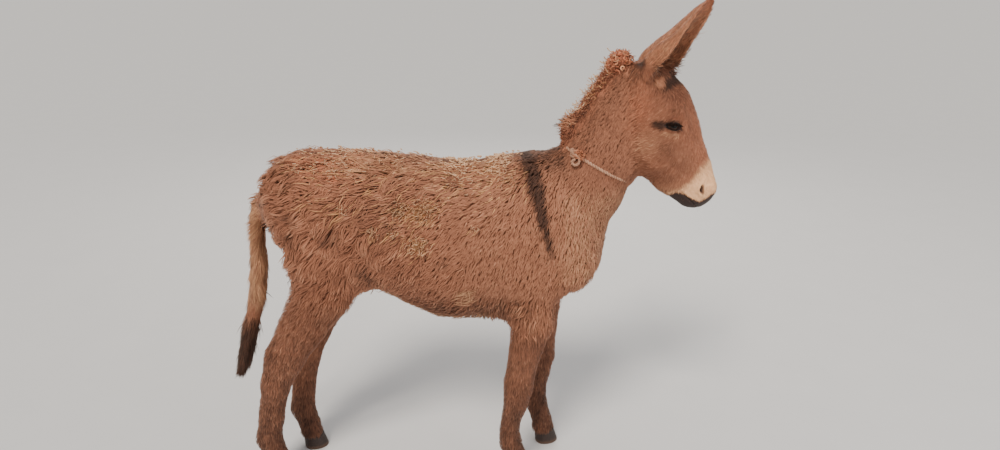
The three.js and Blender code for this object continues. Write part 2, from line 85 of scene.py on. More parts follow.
def head_coords(p):
    """Points in the head's frame: s down the face, d out of the forehead."""
    c, k = math.cos(HEAD["pitch"]), math.sin(HEAD["pitch"])
    x, z = p[..., 0] - HEAD["x"], p[..., 2] - HEAD["z"]
    return x * c - z * k, x * k + z * c


def smooth(lo, hi, x):
    t = np.clip((x - lo) / (hi - lo), 0.0, 1.0)
    return t * t * (3 - 2 * t)


def unit(v):
    return v / np.maximum(np.linalg.norm(v, axis=-1, keepdims=True), 1e-12)


def bump(distance, width):
    return np.exp(-((distance / width) ** 2))


def line_distance(a, b, points):
    """Distance in a plane from the points (a, b) to a broken line."""
    best = np.full(a.shape, 1e9)
    for (a0, b0), (a1, b1) in zip(points[:-1], points[1:]):
        ux, uy = a1 - a0, b1 - b0
        t = np.clip(((a - a0) * ux + (b - b0) * uy) / (ux * ux + uy * uy), 0, 1)
        best = np.minimum(best, np.hypot(a - a0 - ux * t, b - b0 - uy * t))
    return best


def wobble(p, scale, seed=0):
    """Cheap smooth noise, about -1 to 1, from a few sines in turned directions."""
    rng = np.random.default_rng(seed)
    total = np.zeros(len(p))
    for k in range(6):
        direction = unit(rng.normal(size=3)) * (0.7 + 0.35 * k)
        total += np.sin(p @ direction / scale * 2 * math.pi + rng.uniform(0, 6.28))
    return total / 3.2


def mesh_of(name, verts, faces):
    mesh = bpy.data.meshes.new(name)
    mesh.vertices.add(len(verts))
    mesh.vertices.foreach_set("co", np.asarray(verts, dtype=np.float32).ravel())
    faces = np.asarray(faces, dtype=np.int32)
    mesh.loops.add(faces.size)
    mesh.loops.foreach_set("vertex_index", faces.ravel())
    mesh.polygons.add(len(faces))
    starts = np.arange(len(faces), dtype=np.int32) * faces.shape[1]
    mesh.polygons.foreach_set("loop_start", starts)
    mesh.update(calc_edges=True)
    mesh.polygons.foreach_set("use_smooth", np.ones(len(faces), dtype=bool))
    return mesh


def object_of(mesh):
    obj = bpy.data.objects.new(mesh.name, mesh)
    bpy.context.scene.collection.objects.link(obj)
    return obj


def coordinates(mesh):
    verts = np.empty(len(mesh.vertices) * 3, dtype=np.float32)
    mesh.vertices.foreach_get("co", verts)
    return verts.reshape(-1, 3).astype(np.float64)


def triangles(mesh):
    mesh.calc_loop_triangles()
    tris = np.empty(len(mesh.loop_triangles) * 3, dtype=np.int32)
    mesh.loop_triangles.foreach_get("vertices", tris)
    return tris.reshape(-1, 3)


def set_attribute(mesh, name, values, domain="POINT"):
    values = np.asarray(values, dtype=np.float32)
    kind = "FLOAT" if values.ndim == 1 else "FLOAT_VECTOR"
    layer = mesh.attributes.new(name, kind, domain)
    layer.data.foreach_set("value" if values.ndim == 1 else "vector", values.ravel())


def evaluated(obj):
    """The mesh of obj after its modifiers, as data of its own."""
    graph = bpy.context.evaluated_depsgraph_get()
    graph.update()
    return bpy.data.meshes.new_from_object(obj.evaluated_get(graph))


# %% [markdown]
# ## The skin: one hide over every solid of flesh
# A hide has no seams, so copies of the flesh solids are swollen by half a millimetre, joined, and meshed
# again as one closed surface on a voxel grid. Facets are then relaxed away without shrinking the limbs.

# %% Join the solids of flesh
FLESH = [
    "head", "neck", "trunk", "tail", "foreleg_right", "foreleg_left", "hindleg_right", "hindleg_left",
    "eye_right", "eye_left",
]
# The mane, forelock and ears are set into grooves, which are filled with sunken copies of their roots.
PLUGS = {"mane": (0.010, 0, -0.014), "forelock": (-0.006, 0, -0.010)}


def swollen(node, by, push=(0, 0, 0), keep=None):
    bm = bmesh.new()
    bm.from_mesh(frame["nodes"][node].data)
    bmesh.ops.remove_doubles(bm, verts=bm.verts, dist=2e-5)
    if keep is not None:
        at, normal = keep
        geometry = list(bm.verts) + list(bm.edges) + list(bm.faces)
        cut = bmesh.ops.bisect_plane(bm, geom=geometry, plane_co=at, plane_no=normal, clear_outer=True)
        edges = [e for e in cut["geom_cut"] if isinstance(e, bmesh.types.BMEdge)]
        bmesh.ops.holes_fill(bm, edges=edges, sides=0)
    bmesh.ops.triangulate(bm, faces=bm.faces)
    bm.normal_update()
    for v in bm.verts:
        v.co += v.normal * by + Vector(push)
    bm.verts.index_update()
    verts = np.array([v.co[:] for v in bm.verts])
    faces = np.array([[v.index for v in f.verts] for f in bm.faces])
    bm.free()
    return verts, faces


parts = [swollen(node, 0.0006) for node in FLESH]
parts += [swollen(node, 0.0, push) for node, push in PLUGS.items()]
for word, side in SIDES.items():
    keep = ((0.505, 0.060 * side, 1.196), (0.56, 0.16 * side, 0.81))
    parts.append(swollen(f"ear_{word}", 0.0008, keep=keep))
offsets = np.cumsum([0] + [len(v) for v, _ in parts[:-1]])
flesh = mesh_of(
    "flesh",
    np.concatenate([v for v, _ in parts]),
    np.concatenate([f + o for (_, f), o in zip(parts, offsets)]),
)
blank = object_of(flesh)
remesh = blank.modifiers.new("hide", "REMESH")
remesh.mode = "VOXEL"
remesh.voxel_size = 0.0070
hide_mesh = evaluated(blank)
bpy.data.objects.remove(blank)
V, F = coordinates(hide_mesh), triangles(hide_mesh)
print("hide", len(V), "points", len(F), "triangles")


# %% [markdown]
# Relaxing alternates a shrinking and a slightly stronger growing step, which flattens facets and leaves
# the thickness of the legs alone. Each point has its own strength.

# %% Relax the facets
def edges_of(faces):
    pairs = np.concatenate([faces[:, [0, 1]], faces[:, [1, 2]], faces[:, [2, 0]]])
    pairs.sort(axis=1)
    return np.unique(pairs, axis=0)


def relax(verts, faces, strength, rounds, shrink=0.5, grow=-0.52):
    pairs = edges_of(faces)
    ends = np.concatenate([pairs[:, 0], pairs[:, 1]])
    others = np.concatenate([pairs[:, 1], pairs[:, 0]])
    count = np.maximum(np.bincount(ends, minlength=len(verts)), 1)[:, None]
    out = verts.copy()
    for step in range(rounds):
        mean = np.stack([np.bincount(ends, out[others, k], len(verts)) for k in range(3)], 1) / count
        out += (mean - out) * (strength * (shrink if step % 2 == 0 else grow))[:, None]
    return out


def normals_of(verts, faces):
    a, b, c = (verts[faces[:, k]] for k in range(3))
    flat = np.cross(b - a, c - a)
    total = np.stack(
        [sum(np.bincount(faces[:, k], flat[:, axis], len(verts)) for k in range(3)) for axis in range(3)], 1
    )
    return unit(total)


def beyond(p, cut, reach):
    """0 behind a cut plane, 1 in front of it, over a soft band."""
    at, normal = cut
    along = (p - np.array(at)) @ unit(np.array(normal))
    return smooth(-reach, reach, along)


def regions(p):
    """Soft shares of head, neck, legs and tail at points of the body."""
    x, y, z = p[:, 0], np.abs(p[:, 1]), p[:, 2]
    head = beyond(p, HEAD_CUT, 0.022)
    neck = beyond(p, NECK_CUT, 0.04) * (1 - head)
    fore = smooth(0.04, 0.10, x) * smooth(0.56, 0.46, z) * smooth(0.41, 0.38, x)
    hind = smooth(-0.22, -0.30, x) * smooth(0.66, 0.54, z)
    rear = smooth(-0.505, -0.525, x + 0.10 * np.clip(0.82 - z, 0, 1) * (z > 0.6)) * smooth(0.05, 0.035, y)
    low_tail = (x < -0.545 - 0.24 * (0.60 - z)) & (y < 0.03) & (z < 0.62)
    tail = np.maximum(rear * smooth(0.86, 0.80, z) * (z > 0.6), low_tail)
    hind = hind * (1 - tail)
    return {"head": head, "neck": neck, "fore": fore, "hind": hind, "tail": tail}


def coat_depth(p):
    """Depth of the coat under its tips, by place."""
    r = regions(p)
    x, z = p[:, 0], p[:, 2]
    trunk = 0.019 + 0.004 * smooth(-0.2, -0.42, x) - 0.004 * bump(np.hypot(x - 0.25, z - 0.74), 0.13)
    trunk = trunk + 0.007 * smooth(0.62, 0.57, z) + 0.012 * bump(np.hypot(x - 0.355, z - 0.612), 0.042)
    s, d = head_coords(p)
    face = 0.0042 - 0.0028 * smooth(0.27, 0.33, s) + 0.003 * smooth(-0.08, -0.12, d) * (s < 0.25)
    leg = 0.0048 + 0.0085 * smooth(0.40, 0.56, z) - 0.0010 * smooth(0.10, 0.05, z)
    depth = trunk
    depth = depth + (0.0125 - depth) * r["neck"]
    depth = depth + (face - depth) * r["head"]
    depth = depth + (leg - depth) * np.maximum(r["fore"], r["hind"])
    return depth + (0.0085 - depth) * r["tail"]


r = regions(V)
strength = 1.0 - 0.25 * r["head"] - 0.2 * np.maximum(r["fore"], r["hind"])
V = relax(V, F, strength, 60)
depth = relax(np.repeat(coat_depth(V)[:, None], 3, 1), F, np.ones(len(V)), 20, grow=0.5)[:, 0]
V = V - normals_of(V, F) * depth[:, None]
V = relax(V, F, strength, 16)
print("coat depth mm", round(depth.min() * 1000, 1), "to", round(depth.max() * 1000, 1))

# %% [markdown]
# ## Ears
# A donkey's ear is a scoop of gristle: nearly a tube at its root, open down the front, thin at the rim.
# A loft of crescents gives it a true wall, and a union grows it out of the hide.

# %% Loft the ears
EAR_TURN = math.radians(36)
EAR_ROWS = 40
# Centre line of each ear: x, distance from the middle plane, z, half width, depth.
EAR_LINES = {
    "right": [
        (0.462, 0.046, 1.138, 0.026, 0.036), (0.484, 0.053, 1.166, 0.035, 0.048),
        (0.506, 0.060, 1.190, 0.039, 0.049), (0.527, 0.066, 1.219, 0.040, 0.037),
        (0.544, 0.072, 1.250, 0.037, 0.025), (0.561, 0.078, 1.280, 0.033, 0.017),
        (0.579, 0.083, 1.309, 0.026, 0.012), (0.588, 0.086, 1.333, 0.016, 0.007),
        (0.5905, 0.0865, 1.3465, 0.006, 0.003),
    ],
    "left": [
        (0.464, 0.046, 1.138, 0.026, 0.036), (0.490, 0.053, 1.165, 0.035, 0.048),
        (0.519, 0.060, 1.187, 0.039, 0.049), (0.546, 0.067, 1.212, 0.040, 0.037),
        (0.569, 0.074, 1.239, 0.037, 0.025), (0.592, 0.082, 1.265, 0.033, 0.017),
        (0.613, 0.089, 1.290, 0.026, 0.012), (0.628, 0.093, 1.310, 0.016, 0.007),
        (0.633, 0.0945, 1.322, 0.006, 0.003),
    ],
}


def through(points, count):
    """A smooth curve through rows of numbers, at count even steps."""
    pts = np.asarray(points, dtype=float)
    chord = np.concatenate([[0], np.cumsum(np.linalg.norm(np.diff(pts[:, :3], axis=0), axis=1))])
    slope = np.gradient(pts, chord, axis=0)
    at = np.linspace(0, chord[-1], count)
    i = np.clip(np.searchsorted(chord, at, side="right") - 1, 0, len(pts) - 2)
    span = (chord[i + 1] - chord[i])[:, None]
    t = ((at - chord[i]) / span[:, 0])[:, None]
    a, b, ma, mb = pts[i], pts[i + 1], slope[i] * span, slope[i + 1] * span
    leave, arrive = 2 * t**3 - 3 * t**2 + 1, 3 * t**2 - 2 * t**3
    return leave * a + (t**3 - 2 * t**2 + t) * ma + arrive * b + (t**3 - t**2) * mb


def ear_axes(word, count):
    side = SIDES[word]
    line = through(EAR_LINES[word], count)
    line[:, 1] *= side
    tangent = unit(np.gradient(line[:, :3], axis=0))
    opening = np.tile([math.cos(EAR_TURN), side * math.sin(EAR_TURN), 0.0], (count, 1))
    opening = unit(opening - tangent * (opening * tangent).sum(1)[:, None])
    return line, tangent, opening, np.cross(tangent, opening)


def ear_row(line, z):
    """The nearest row of an ear's centre line to each height."""
    share = (z - line[0, 2]) / (line[-1, 2] - line[0, 2])
    return np.clip((share * (EAR_ROWS - 1)).astype(int), 0, EAR_ROWS - 1)


def ear_loft(word, rows=56, across=26):
    line, _, opening, wide = ear_axes(word, rows)
    rings = []
    for i in range(rows):
        share = i / (rows - 1)
        reach = math.radians(100 - 8 * smooth(0.3, 0.7, share) - 14 * smooth(0.7, 1.0, share))
        a = np.linspace(-reach, reach, across)
        half, deep = line[i, 3] - 0.0015, max(line[i, 4] - 0.0015, 0.0022)
        rim = np.abs(a / reach)
        thinning = 1 - 0.45 * smooth(0.6, 1, share)
        wall = (0.0042 - 0.0014 * rim) * np.sqrt(np.clip(1 - rim**14, 0, 1)) * thinning
        wall = np.maximum(wall, 0.0007)
        wall = np.minimum(wall, half * 0.6)
        roll = 1 - 0.05 * smooth(0.8, 1.0, rim) * (1 - share)

        def place(w, h):
            return (
                line[i, :3]
                + wide[i] * (w * np.sin(a) * roll)[:, None]
                - opening[i] * (h * np.cos(a))[:, None]
            )

        outer, inner = place(half, deep), place(half - wall, deep - wall)
        rings.append(np.concatenate([outer, inner[::-1]]))
    size = 2 * across
    k = np.arange(size)
    after = (k + 1) % size
    quads = []
    for i in range(rows - 1):
        low, high = i * size, (i + 1) * size
        quads.append(np.stack([low + k, low + after, high + after, high + k], 1))
    j = np.arange(across - 1)
    cap = np.stack([j + 1, j, size - 1 - j, size - 2 - j], 1)
    quads += [cap, cap[:, ::-1] + (rows - 1) * size]
    verts, quads = np.concatenate(rings), np.concatenate(quads)
    faces = np.concatenate([quads[:, [0, 1, 2]], quads[:, [0, 2, 3]]])
    volume = np.einsum("ij,ij->i", verts[faces[:, 0]], np.cross(verts[faces[:, 1]], verts[faces[:, 2]])).sum()
    return verts, faces if volume > 0 else faces[:, ::-1]


base = object_of(mesh_of("hide", V, F))
for word in SIDES:
    ear = object_of(mesh_of(f"ear_{word}_loft", *ear_loft(word)))
    union = base.modifiers.new(f"join_{word}", "BOOLEAN")
    union.operation, union.solver, union.object = "UNION", "MANIFOLD", ear
joined = evaluated(base)
for obj in list(bpy.data.objects):
    if obj.name.endswith("_loft") or obj == base:
        bpy.data.objects.remove(obj)
bm = bmesh.new()
bm.from_mesh(joined)
near_root = [v for v in bm.verts if 1.12 < v.co.z < 1.21 and v.co.x > 0.42]
bmesh.ops.remove_doubles(bm, verts=near_root, dist=0.00005)
bmesh.ops.dissolve_degenerate(bm, edges=bm.edges, dist=1e-5)
bmesh.ops.triangulate(bm, faces=[f for f in bm.faces if len(f.verts) > 3])
shared = [len(e.link_faces) for e in bm.edges]
print("open edges", sum(n < 2 for n in shared), "edges where sheets meet", sum(n > 2 for n in shared))
bm.to_mesh(joined)
bm.free()
V, F = coordinates(joined), triangles(joined)
print("with ears", len(V), "points", len(F), "triangles")

# %% [markdown]
# ## Finer mesh where the form is finer
# The coat hides the trunk, so its mesh can stay open. The head is split twice, and lids, nostrils and lips
# once more. Splitting every edge that is too long for its place keeps the surface closed.

# %% Split long edges on the head
def split_long(verts, faces, allowed):
    sides = np.stack([faces, np.roll(faces, -1, axis=1)], 2)
    keys, which = np.unique(np.sort(sides.reshape(-1, 2), axis=1), axis=0, return_inverse=True)
    which = which.reshape(-1, 3)
    middle = (verts[keys[:, 0]] + verts[keys[:, 1]]) / 2
    length = np.linalg.norm(verts[keys[:, 0]] - verts[keys[:, 1]], axis=1)
    marked = length > allowed(middle)
    number = np.full(len(keys), -1)
    number[marked] = len(verts) + np.arange(marked.sum())
    mid = number[which]
    count = (mid >= 0).sum(1)
    out = [faces[count == 0]]
    a, b, c = faces.T
    for turn in range(3):
        p, q, w = np.roll(faces, -turn, 1).T
        m, n, o = np.roll(mid, -turn, 1).T
        one = (count == 1) & (m >= 0)
        out += [np.stack([p, m, w], 1)[one], np.stack([m, q, w], 1)[one]]
        two = (count == 2) & (m >= 0) & (n >= 0)
        out += [np.stack([m, q, n], 1)[two], np.stack([p, m, n], 1)[two], np.stack([p, n, w], 1)[two]]
    m, n, o = mid.T
    all_three = count == 3
    out += [np.stack(t, 1)[all_three] for t in ((a, m, o), (m, b, n), (o, n, c), (m, n, o))]
    return np.concatenate([verts, middle[marked]]), np.concatenate(out)


NOSTRIL = {"s": 0.337, "d": -0.026, "y": 0.036}
MOUTH = [(0.392, -0.058), (0.372, -0.060), (0.340, -0.067), (0.312, -0.072)]


def nostril_place(s, d):
    """Offsets along and across the comma of a nostril."""
    ds, dd = s - NOSTRIL["s"], d - NOSTRIL["d"]
    u = ds * 0.95 - dd * 0.31
    return u, ds * 0.31 + dd * 0.95 - 20 * (u - 0.004) ** 2 + 0.001


def eye_frame(side):
    centre = head_point(EYE["s"], EYE["d"], side * EYE["y"])
    out = unit(np.array([0.20, side, 0.08]))
    along = np.array([1.0, 0.0, -0.07])
    along = unit(along - out * (along @ out))
    up = np.cross(out, along)
    return centre, along, up * np.sign(up[2]), out


def allowed_edge(p):
    s, d = head_coords(p)
    head = beyond(p, HEAD_CUT, 0.02)
    limit = 0.020 - 0.0156 * head
    y = np.abs(p[:, 1])
    ear_wall = (p[:, 2] > 1.16) & (p[:, 0] > 0.45)
    limit = np.where(ear_wall, 0.02, limit)
    eye = np.hypot(s - EYE["s"], d - EYE["d"]) + 9 * (y < 0.045)
    lips = np.minimum(line_distance(s, d, MOUTH), np.hypot(s - NOSTRIL["s"], d - NOSTRIL["d"]) * 0.7)
    limit = np.where(eye < 0.034, 0.0024, limit)
    limit = np.where((eye < 0.0245) & (np.abs(p[:, 2] - 1.029) < 0.0155), 0.0011, limit)
    return np.where((lips < 0.012) & (s > 0.29) & ~ear_wall, 0.0021, limit)


for turn in range(4):
    V, F = split_long(V, F, allowed_edge)
V = relax(V, F, beyond(V, HEAD_CUT, 0.02) * (V[:, 2] < 1.17), 6)
print("split", len(V), "points", len(F), "triangles")

# %% [markdown]
# ## Head
# Under a thin coat the skull shows: the crest below the eye, the hollow above it, the edge of the jaw
# and the soft nostrils. Each is one small push along the surface, measured in the head's own frame.

# %% Model skull, lips and nostrils
def sculpt_head(p, n):
    s, d = head_coords(p)
    y = np.abs(p[:, 1])
    head = beyond(p, HEAD_CUT, 0.02) * (p[:, 2] < 1.17)
    mm = np.zeros(len(p))
    mm += 2.6 * bump(np.hypot((s - 0.118) / 1.5, d - 0.017), 0.011) * (y > 0.03)
    mm -= 3.4 * bump(np.hypot(s - 0.098, d - 0.030), 0.013) * (y > 0.025)
    crest = line_distance(s, d, [(0.176, -0.036), (0.205, -0.040), (0.240, -0.040)])
    mm += 2.4 * bump(crest, 0.008) * smooth(0.25, 0.22, s)
    mm -= 1.8 * bump(line_distance(s, d, [(0.215, -0.062), (0.262, -0.040), (0.300, -0.028)]), 0.014)
    jaw_line = [(0.085, -0.075), (0.130, -0.098), (0.180, -0.103), (0.215, -0.090), (0.222, -0.066)]
    jaw = line_distance(s, d, jaw_line)
    mm += 2.2 * bump(jaw, 0.010) * (y > 0.02)
    mm -= 2.6 * bump(line_distance(s, d, [(0.238, -0.095), (0.236, -0.066)]), 0.012) * (y > 0.015)
    mm -= 5.0 * bump(y, 0.018) * smooth(-0.085, -0.10, d) * smooth(0.08, 0.13, s) * smooth(0.29, 0.24, s)
    mm -= 1.6 * bump(np.hypot((s - 0.275) / 2.2, y - 0.022), 0.010) * smooth(0.0, 0.02, d)
    mm += 1.6 * bump(y, 0.010) * smooth(0.0, 0.02, d) * smooth(0.14, 0.18, s) * smooth(0.33, 0.29, s)
    # Nostrils: a swollen rim round a deep comma.
    u, w = nostril_place(s, d)
    ring = np.hypot(u / 2.4, w)
    near = (y > 0.012) & (s > 0.30)
    mm += near * 2.4 * bump(ring - 0.0080, 0.0045)
    hole = near * smooth(0.0050, 0.0024, ring)
    # Lips: the slit of the mouth, the lips rolled to both sides of it, and the chin.
    slit = line_distance(s, d, MOUTH)
    mouth = s > 0.298
    shut = 1 - 0.8 * smooth(0.362, 0.380, s)
    mm += mouth * 1.3 * bump(slit - 0.006, 0.004) * shut
    mm -= mouth * 3.0 * bump(slit, 0.0017) * smooth(0.300, 0.316, s) * shut
    mm += 1.2 * bump(np.hypot(s - 0.352, d + 0.083), 0.012)
    out = p + n * (mm * head * MM)[:, None]
    inward = unit(np.stack([-0.75 + 0 * s, -np.sign(p[:, 1]) * 0.66, 0.3 + 0 * s], 1))
    return out + inward * (hole * 0.010)[:, None], hole


# %% [markdown]
# The lids lie on the ball of the eye. Each point near it takes the lid's distance from the ball's centre,
# and inside the almond slit it drops behind the ball. The eye is half shut, as in a dozing animal.

# %% Fold the lids round the eyes
def lid_place(p, side):
    """Place by the eye: radius, longitude and latitude in degrees, and flat offsets along and up."""
    centre, along, up, out = eye_frame(side)
    rel = p - centre
    radius = np.linalg.norm(rel, axis=1)
    u = rel / np.maximum(radius, 1e-9)[:, None]
    lon = np.degrees(np.arctan2(u @ along, u @ out))
    lat = np.degrees(np.arcsin(np.clip(u @ up, -1, 1)))
    off = np.degrees(np.arccos(np.clip(u @ out, -1, 1)))
    near = smooth(0.062, 0.050, radius) * (rel @ out > 0)
    return {
        "u": u, "radius": radius, "lon": lon, "lat": lat, "off": off,
        "a": rel @ along, "b": rel @ up, "near": near,
    }


SLIT = 68.0


def slit_edges(lon):
    """Latitudes of the upper and lower lid margins. The upper lid droops, most of all behind."""
    share = np.clip(1 - (lon / SLIT) ** 2, 0, 1) ** 0.52
    skew, slant = 1 + 0.16 * lon / SLIT, -3.0 * lon / SLIT
    return 24.0 * share * skew + slant, -27.0 * share * skew + slant


REAR_CREASE = [(-0.0190, 0.0010), (-0.034, 0.0030), (-0.052, 0.0075)]
FRONT_CORNER = [(0.0175, -0.0020), (0.0215, -0.0042), (0.0262, -0.0090)]
LASH_LINE = [(-0.020, 0.011), (0.0, 0.0125), (0.019, 0.0095)]


def fold_lids(p, n):
    out = p.copy()
    for side in SIDES.values():
        e = lid_place(p, side)
        a, b = e["a"], e["b"]
        mm = 2.6 * bump(b - (0.0262 - 12 * a**2), 0.0055) * smooth(0.030, 0.020, np.abs(a))
        mm -= 1.5 * bump(line_distance(a, b, REAR_CREASE), 0.0020) * smooth(-0.054, -0.030, a)
        mm -= 1.6 * bump(line_distance(a, b, FRONT_CORNER), 0.0019)
        mm -= 0.9 * bump(b + 0.0190 - 10 * a**2, 0.0024) * smooth(0.018, 0.010, np.abs(a))
        out += n * (mm * e["near"] * (e["off"] > 30) * MM)[:, None]
    for side in SIDES.values():
        e = lid_place(out, side)
        lon, lat = e["lon"], e["lat"]
        upper, lower = slit_edges(lon)
        inside = np.minimum(upper - lat, lat - lower)
        hole = smooth(-1.0, 1.6, inside) * (np.abs(lon) < SLIT)
        margin = np.minimum(np.abs(lat - upper), np.abs(lat - lower))
        lid = EYE["radius"] + EYE["lid"] + 0.0007 * bump(margin, 4.5)
        lid += 0.0010 * bump(lat - upper - 17, 8) - 0.0012 * bump(lat - upper - 9.5, 2.6)
        lid -= 0.0007 * bump(lat - lower + 9, 3.0)
        target = lid + (EYE["radius"] - 0.0032 - lid) * hole
        share = e["near"] * smooth(76, 56, e["off"])
        out += e["u"] * ((target - e["radius"]) * share)[:, None]
    return out


V, HOLE = sculpt_head(V, normals_of(V, F))
V = fold_lids(V, normals_of(V, F))
soft = beyond(V, HEAD_CUT, 0.02) * (V[:, 2] < 1.17)
V = relax(V, F, soft * 0.5, 2)
print("head modelled, skin box", np.round(V.min(0), 3), np.round(V.max(0), 3))

# %% [markdown]
# ## The skin as one piece
# The hide becomes one object that stands for every solid of flesh. It is unwrapped along its own shape,
# and every tuft later takes the texture place of the skin under its root.

# %% Make the skin and unwrap it
skin_mesh = mesh_of("skin", V, F)
skin = object_of(skin_mesh)
skin_mesh.uv_layers.new(name="OFBake")
bpy.context.view_layer.objects.active = skin
skin.select_set(True)
bpy.ops.object.mode_set(mode="EDIT")
bpy.ops.mesh.select_all(action="SELECT")
bpy.ops.uv.smart_project(angle_limit=math.radians(66), island_margin=0.001)
bpy.ops.object.mode_set(mode="OBJECT")
skin.select_set(False)
N = normals_of(V, F)
corner_uv = np.empty(len(skin_mesh.loops) * 2, dtype=np.float32)
skin_mesh.uv_layers["OFBake"].data.foreach_get("uv", corner_uv)
corner_uv = corner_uv.reshape(-1, 3, 2)
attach(skin, "root")
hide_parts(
    "head", "neck", "trunk", "tail", "foreleg_right", "foreleg_left", "hindleg_right", "hindleg_left",
    "ear_right", "ear_left",
)
print("skin", len(F), "triangles, unwrapped")

# %% [markdown]
# ## Markings
# The coat is dun, reading pinkish brown under a warm light. Muzzle and lips are pale and black, the
# dorsal stripe and the cross over the shoulders are dark, and the legs darken downwards. Part of the pale
# and dark is painted light and shade: lit top, chest, jaw and ear backs; shaded belly, flank fold, cheek,
# face, partings, eye band and ear root; and a lead rope's shadow below the shoulder cross. Masks are
# worked out once for any point, so that skin and coat agree.

# %% Markings for any point of the body
# Painted shade where locks part on the right side: x, z, size.
LOCK_SHADOWS = [
    (-0.314, 0.773, 0.012), (-0.298, 0.795, 0.009), (-0.401, 0.818, 0.011), (-0.414, 0.770, 0.010),
    (-0.196, 0.946, 0.012), (-0.276, 0.958, 0.012), (-0.147, 0.842, 0.010), (0.001, 0.887, 0.010),
    (-0.037, 0.710, 0.012), (-0.158, 0.800, 0.010), (-0.392, 0.901, 0.012),
]
# Where chaff sticks to the right side: x, z, size, share.
CHAFF = [
    (-0.090, 0.828, 0.026, 1.0), (-0.101, 0.751, 0.022, 0.9), (-0.142, 0.828, 0.026, 0.7),
    (-0.307, 0.928, 0.062, 0.28), (0.100, 0.905, 0.040, 0.5), (0.000, 0.900, 0.045, 0.45),
    (-0.284, 0.832, 0.012, 0.8), (-0.211, 0.784, 0.012, 0.8), (-0.160, 0.779, 0.010, 0.8),
    (0.035, 0.784, 0.008, 0.8),
]
# The shoulder cross: x, z. Its lower end, down to z 0.715, is the painted shadow of a lead rope.
SHOULDER_STRIPE_AND_ROPE_SHADOW = [(0.172, 0.975), (0.182, 0.940), (0.203, 0.860), (0.216, 0.795), (0.238, 0.715)]


